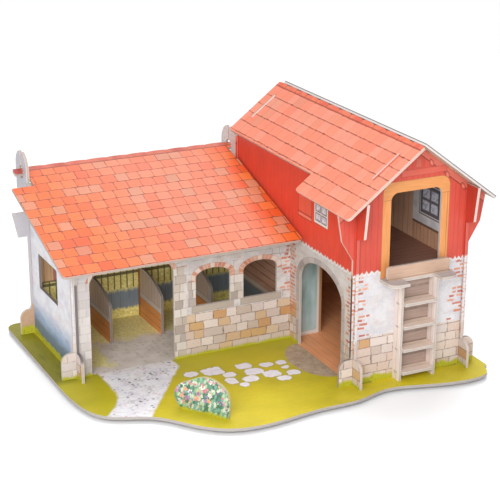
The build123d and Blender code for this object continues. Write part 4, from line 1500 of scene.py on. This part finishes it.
def dress_loft_floor():
    s = Sheet("loft_floor", RIGHT, BACKWARD, UP)
    u, v = s.u, s.v
    loft = boards(v, u, 9.0, "#AE7C68", "#7A4A3A", 91.0)
    landing = boards(v, u, 30.0, "#DDD4D0", "#AAA09C", 92.0)
    under = boards(v, u, 11.0, "#B89C82", "#866850", 93.0)
    s.finish(over(loft, landing, soft(2.0 - v)), under)


dress_loft_floor()
dress_timber("landing_guard", RIGHT, UP, FORWARD, "#DAB69E", "#B49078", 40.0, 94.0, turned=True)
for side, out in (("left", LEFT), ("right", RIGHT)):
    dress_timber(f"ladder_stringer_{side}", BACKWARD, UP, out, "#FFEFE6", "#E8D2C6", 40.0, 95.0)
treads = sorted(name for name in nodes if name.startswith("ladder_tread"))
for number, name in enumerate(treads):
    dress_timber(name, RIGHT, BACKWARD, UP, "#FFEADA", "#E2C6B2", 30.0, 96.0 + number, turned=True)

# %% [markdown]
# The stall partitions
#
# Each partition has upright grey boards over level brown ones, with a pale rail between them and along
# its curved front, and an orange post at the back. The curve of the card's top is repeated in the print,
# so that the rim follows it.

# %% Dress the partitions
PARTITION_RAIL, RIM_WIDTH, POST_WIDTH = 27, 3.0, 5.5
CURVE_RUN, CURVE_DROP = 44, 15.0


def dress_partition(name, seed):
    s = Sheet(name, BACKWARD, UP, LEFT)
    u, v = s.u, s.v
    low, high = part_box(name)
    front = (low.y - corner.y) / MM
    back = (high.y - corner.y) / MM
    top = (high.z - corner.z) / MM
    upper = boards(u, v, 8.4, "#EFD6C4", "#BFA794", seed)
    lower = boards(v, u, 8.5, "#FFAA62", "#D4844C", seed + 1)
    colour = over(lower, upper, soft(v - PARTITION_RAIL))
    run = (front + CURVE_RUN - u).most(0.0) / CURVE_RUN
    curve = top - CURVE_DROP * run * run * run
    rim = (u - front).least(curve - v).least((v - PARTITION_RAIL).size() - 0.4)
    rail = mottled(ink("#E6DACF"), noise(u / 14, v / 1.5, seed, detail=3.0), 0.26)
    rail = over(rail, ink("#6E5F56"), (rim - 2.8).size().fade(0.6, 0.2) * 0.6)
    colour = over(colour, rail, soft(RIM_WIDTH - rim, 0.2) * soft(v - PARTITION_RAIL + 3))
    post = back - u
    timber = boards(u, v, 40.0, "#E08C4C", "#B26432", seed + 2)
    timber = over(timber, ink("#5E3A22"), (post - POST_WIDTH).size().fade(0.6, 0.2) * 0.7)
    colour = over(colour, timber, soft(POST_WIDTH - post, 0.2))
    s.finish(colour, colour, ink("#7A685C"), 0.6)


for number, name in enumerate(sorted(name for name in nodes if name.startswith("stall_partition"))):
    dress_partition(name, 101.0 + 4 * number)

# %% [markdown]
# The flower card
#
# The small card that stands in the lawn carries a plain bush: leaves made of slanting cells, with round
# blossoms of two sizes dotted over them. A blossom is a cell whose rim swings in and out five times
# round its middle, which gives five petals.

# %% Dress the flower card


def make_blossoms():
    """Small flowers of five petals, one in each of the cells that a share of them leaves free."""
    p = Pattern("Blossoms", u=0.0, v=0.0, size=6.0, share=0.5)
    grid_u = p.u / p.size
    grid_v = p.v / p.size
    cell = Cells(grid_u, grid_v, 0.8)
    middle_u, middle_v = cell.middle()
    across = grid_u - middle_u
    upward = grid_v - middle_v
    reach = (across * across + upward * upward).root()
    petal = (upward.turn(across) * 5 + cell.hue * 6).cosine()
    rim = petal * 0.09 + 0.31
    colour = palette(cell.hue, "#E88FAE", "#F8F4EE", "#A588C6", "#F1B49A", "#E9B0CC", "#7C64A4", "#D97C9E")
    colour = shade(colour, reach.fade(0.0, 0.4) * 0.14 + 0.88)
    colour = over(colour, ink("#E0AE4A"), reach.fade(0.12, 0.08))
    return p.done(colour=colour, mask=(rim - reach).fade(-0.03, 0.03) * (cell.tone > p.share))


BLOSSOMS = make_blossoms()


def dress_flowers():
    name = "flower_card"
    out = max(nodes[name].data.polygons, key=lambda face: face.area).normal.copy()
    out = out if out.y < 0 else -out
    low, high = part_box(name)
    middle = (low + high) / 2
    s = Sheet(name, out.cross(UP), UP, out, Vector((middle.x, middle.y, corner.z)))
    u, v = s.u, s.v
    leaf = Cells(u / 2.6 + v / 9, v / 4.6)
    colour = palette(leaf.tone, "#6E9E80", "#9CC294", "#4E7C64", "#BCD6AE", "#7EB0A2", "#D2E2C4", "#649482")
    colour = over(colour, ink("#44684A"), leaf.reach.fade(0.36, 0.75) * 0.6)
    gaps = noise(u / 6, v / 6, 21.0, detail=3.0)
    colour = over(colour, ink("#EDEDE0"), gaps.fade(0.62, 0.7) * 0.6)
    for size, seed, share in ((7.4, 3.0, 0.4), (4.4, 9.0, 0.45)):
        bloom = Used(BLOSSOMS, u=u + noise(u / 9, v / 9, seed) * 6 + seed, v=v + seed, size=size, share=share)
        colour = over(colour, bloom.colour, bloom.mask * soft(v - 8 - (noise(u / 5, seed) - 0.5) * 12, 3.0))
    colour = grow_grass(colour, u, v, 3.0, 4.0)
    s.finish(colour, shade(colour, 0.92), ink("#C9C88A"), 0.7)


dress_flowers()

# %% [markdown]
# The floor
#
# The photo is a plain product shot on a white sweep. One large white sheet stands for it, so wide that
# its end isn't seen from any side.

# %% The stage
FLOOR_HALF = 12.0
floor_mesh = bpy.data.meshes.new("floor")
sheet = bmesh.new()
bmesh.ops.create_grid(sheet, x_segments=1, y_segments=1, size=FLOOR_HALF)
sheet.to_mesh(floor_mesh)
sheet.free()
floor = bpy.data.objects.new("floor", floor_mesh)
bpy.context.scene.collection.objects.link(floor)
floor_paint = bpy.data.materials.new("floor_white")
floor_paint.use_nodes = True
floor_shader = floor_paint.node_tree.nodes["Principled BSDF"]
floor_shader.inputs["Base Color"].default_value = (0.95, 0.95, 0.95, 1)
floor_shader.inputs["Roughness"].default_value = 0.6
floor_mesh.materials.append(floor_paint)
print("floor", 2 * FLOOR_HALF, "m wide")

# %% [markdown]
# The light
#
# The studio's light is broad and even, with a soft shadow only where the base meets the floor. A sun
# lamp with a very wide disk gives the light from above without a bright spot on the floor, a soft lamp
# in front lifts the walls, and an even sky fills the rest. The Standard view keeps the inks as printed.

# %% Lamps and sky
SUN_DIRECTION = (0.2, 0.5, 1.0)
FRONT_PLACE = Vector((-1.0, -1.5, 0.95))
FRONT_AIM = Vector((0, 0, 0.1))


def hang(lamp, turn):
    holder = bpy.data.objects.new(lamp.name, lamp)
    bpy.context.scene.collection.objects.link(holder)
    holder.rotation_euler = turn.to_euler()
    return holder


sun = bpy.data.lights.new("overhead", "SUN")
sun.energy = 1.5
sun.angle = math.radians(38)
hang(sun, Vector(SUN_DIRECTION).to_track_quat("Z", "Y"))

front_light = bpy.data.lights.new("front_light", "AREA")
front_light.shape = "DISK"
front_light.size = 1.4
front_light.energy = 37
hang(front_light, (FRONT_AIM - FRONT_PLACE).to_track_quat("-Z", "Y")).location = FRONT_PLACE

world = bpy.data.worlds.new("sky")
world.use_nodes = True
world.node_tree.nodes["Background"].inputs["Color"].default_value = (0.95, 0.97, 1.0, 1)
world.node_tree.nodes["Background"].inputs["Strength"].default_value = 0.62
bpy.context.scene.world = world
bpy.context.scene.view_settings.view_transform = "Standard"
print("lamps:", sun.name, front_light.name)

# %% [markdown]
# The camera
#
# The camera stands where the photo's did. Its place, direction and focal length were found by matching
# corners of the toy with their places in the photo. The middle of the lens is not quite the middle of
# the picture, which the two shifts allow for.

# %% The photo's camera
CAMERA_PLACE = (-0.64155, -1.330261, 0.6426)
CAMERA_AZIMUTH, CAMERA_ELEVATION, CAMERA_ROLL = -25.99, 19.97, -0.08
FOCAL_PIXELS, PHOTO_SIDE, SENSOR_MM = 1483.8, 500, 36.0
PRINCIPAL_POINT = (249.31, 261.61)

lens = bpy.data.cameras.new("camera")
lens.sensor_width = SENSOR_MM
lens.lens = SENSOR_MM * FOCAL_PIXELS / PHOTO_SIDE
lens.shift_x = (PHOTO_SIDE / 2 - PRINCIPAL_POINT[0]) / PHOTO_SIDE
lens.shift_y = (PRINCIPAL_POINT[1] - PHOTO_SIDE / 2) / PHOTO_SIDE
lens.clip_start = 0.05
lens.clip_end = 20
camera = bpy.data.objects.new("camera", lens)
bpy.context.scene.collection.objects.link(camera)
camera.location = CAMERA_PLACE
camera.rotation_euler = (
    math.radians(90 - CAMERA_ELEVATION), math.radians(CAMERA_ROLL), math.radians(CAMERA_AZIMUTH)
)
bpy.context.scene.camera = camera
print("focal length", round(lens.lens, 1), "mm on a sensor of", SENSOR_MM)
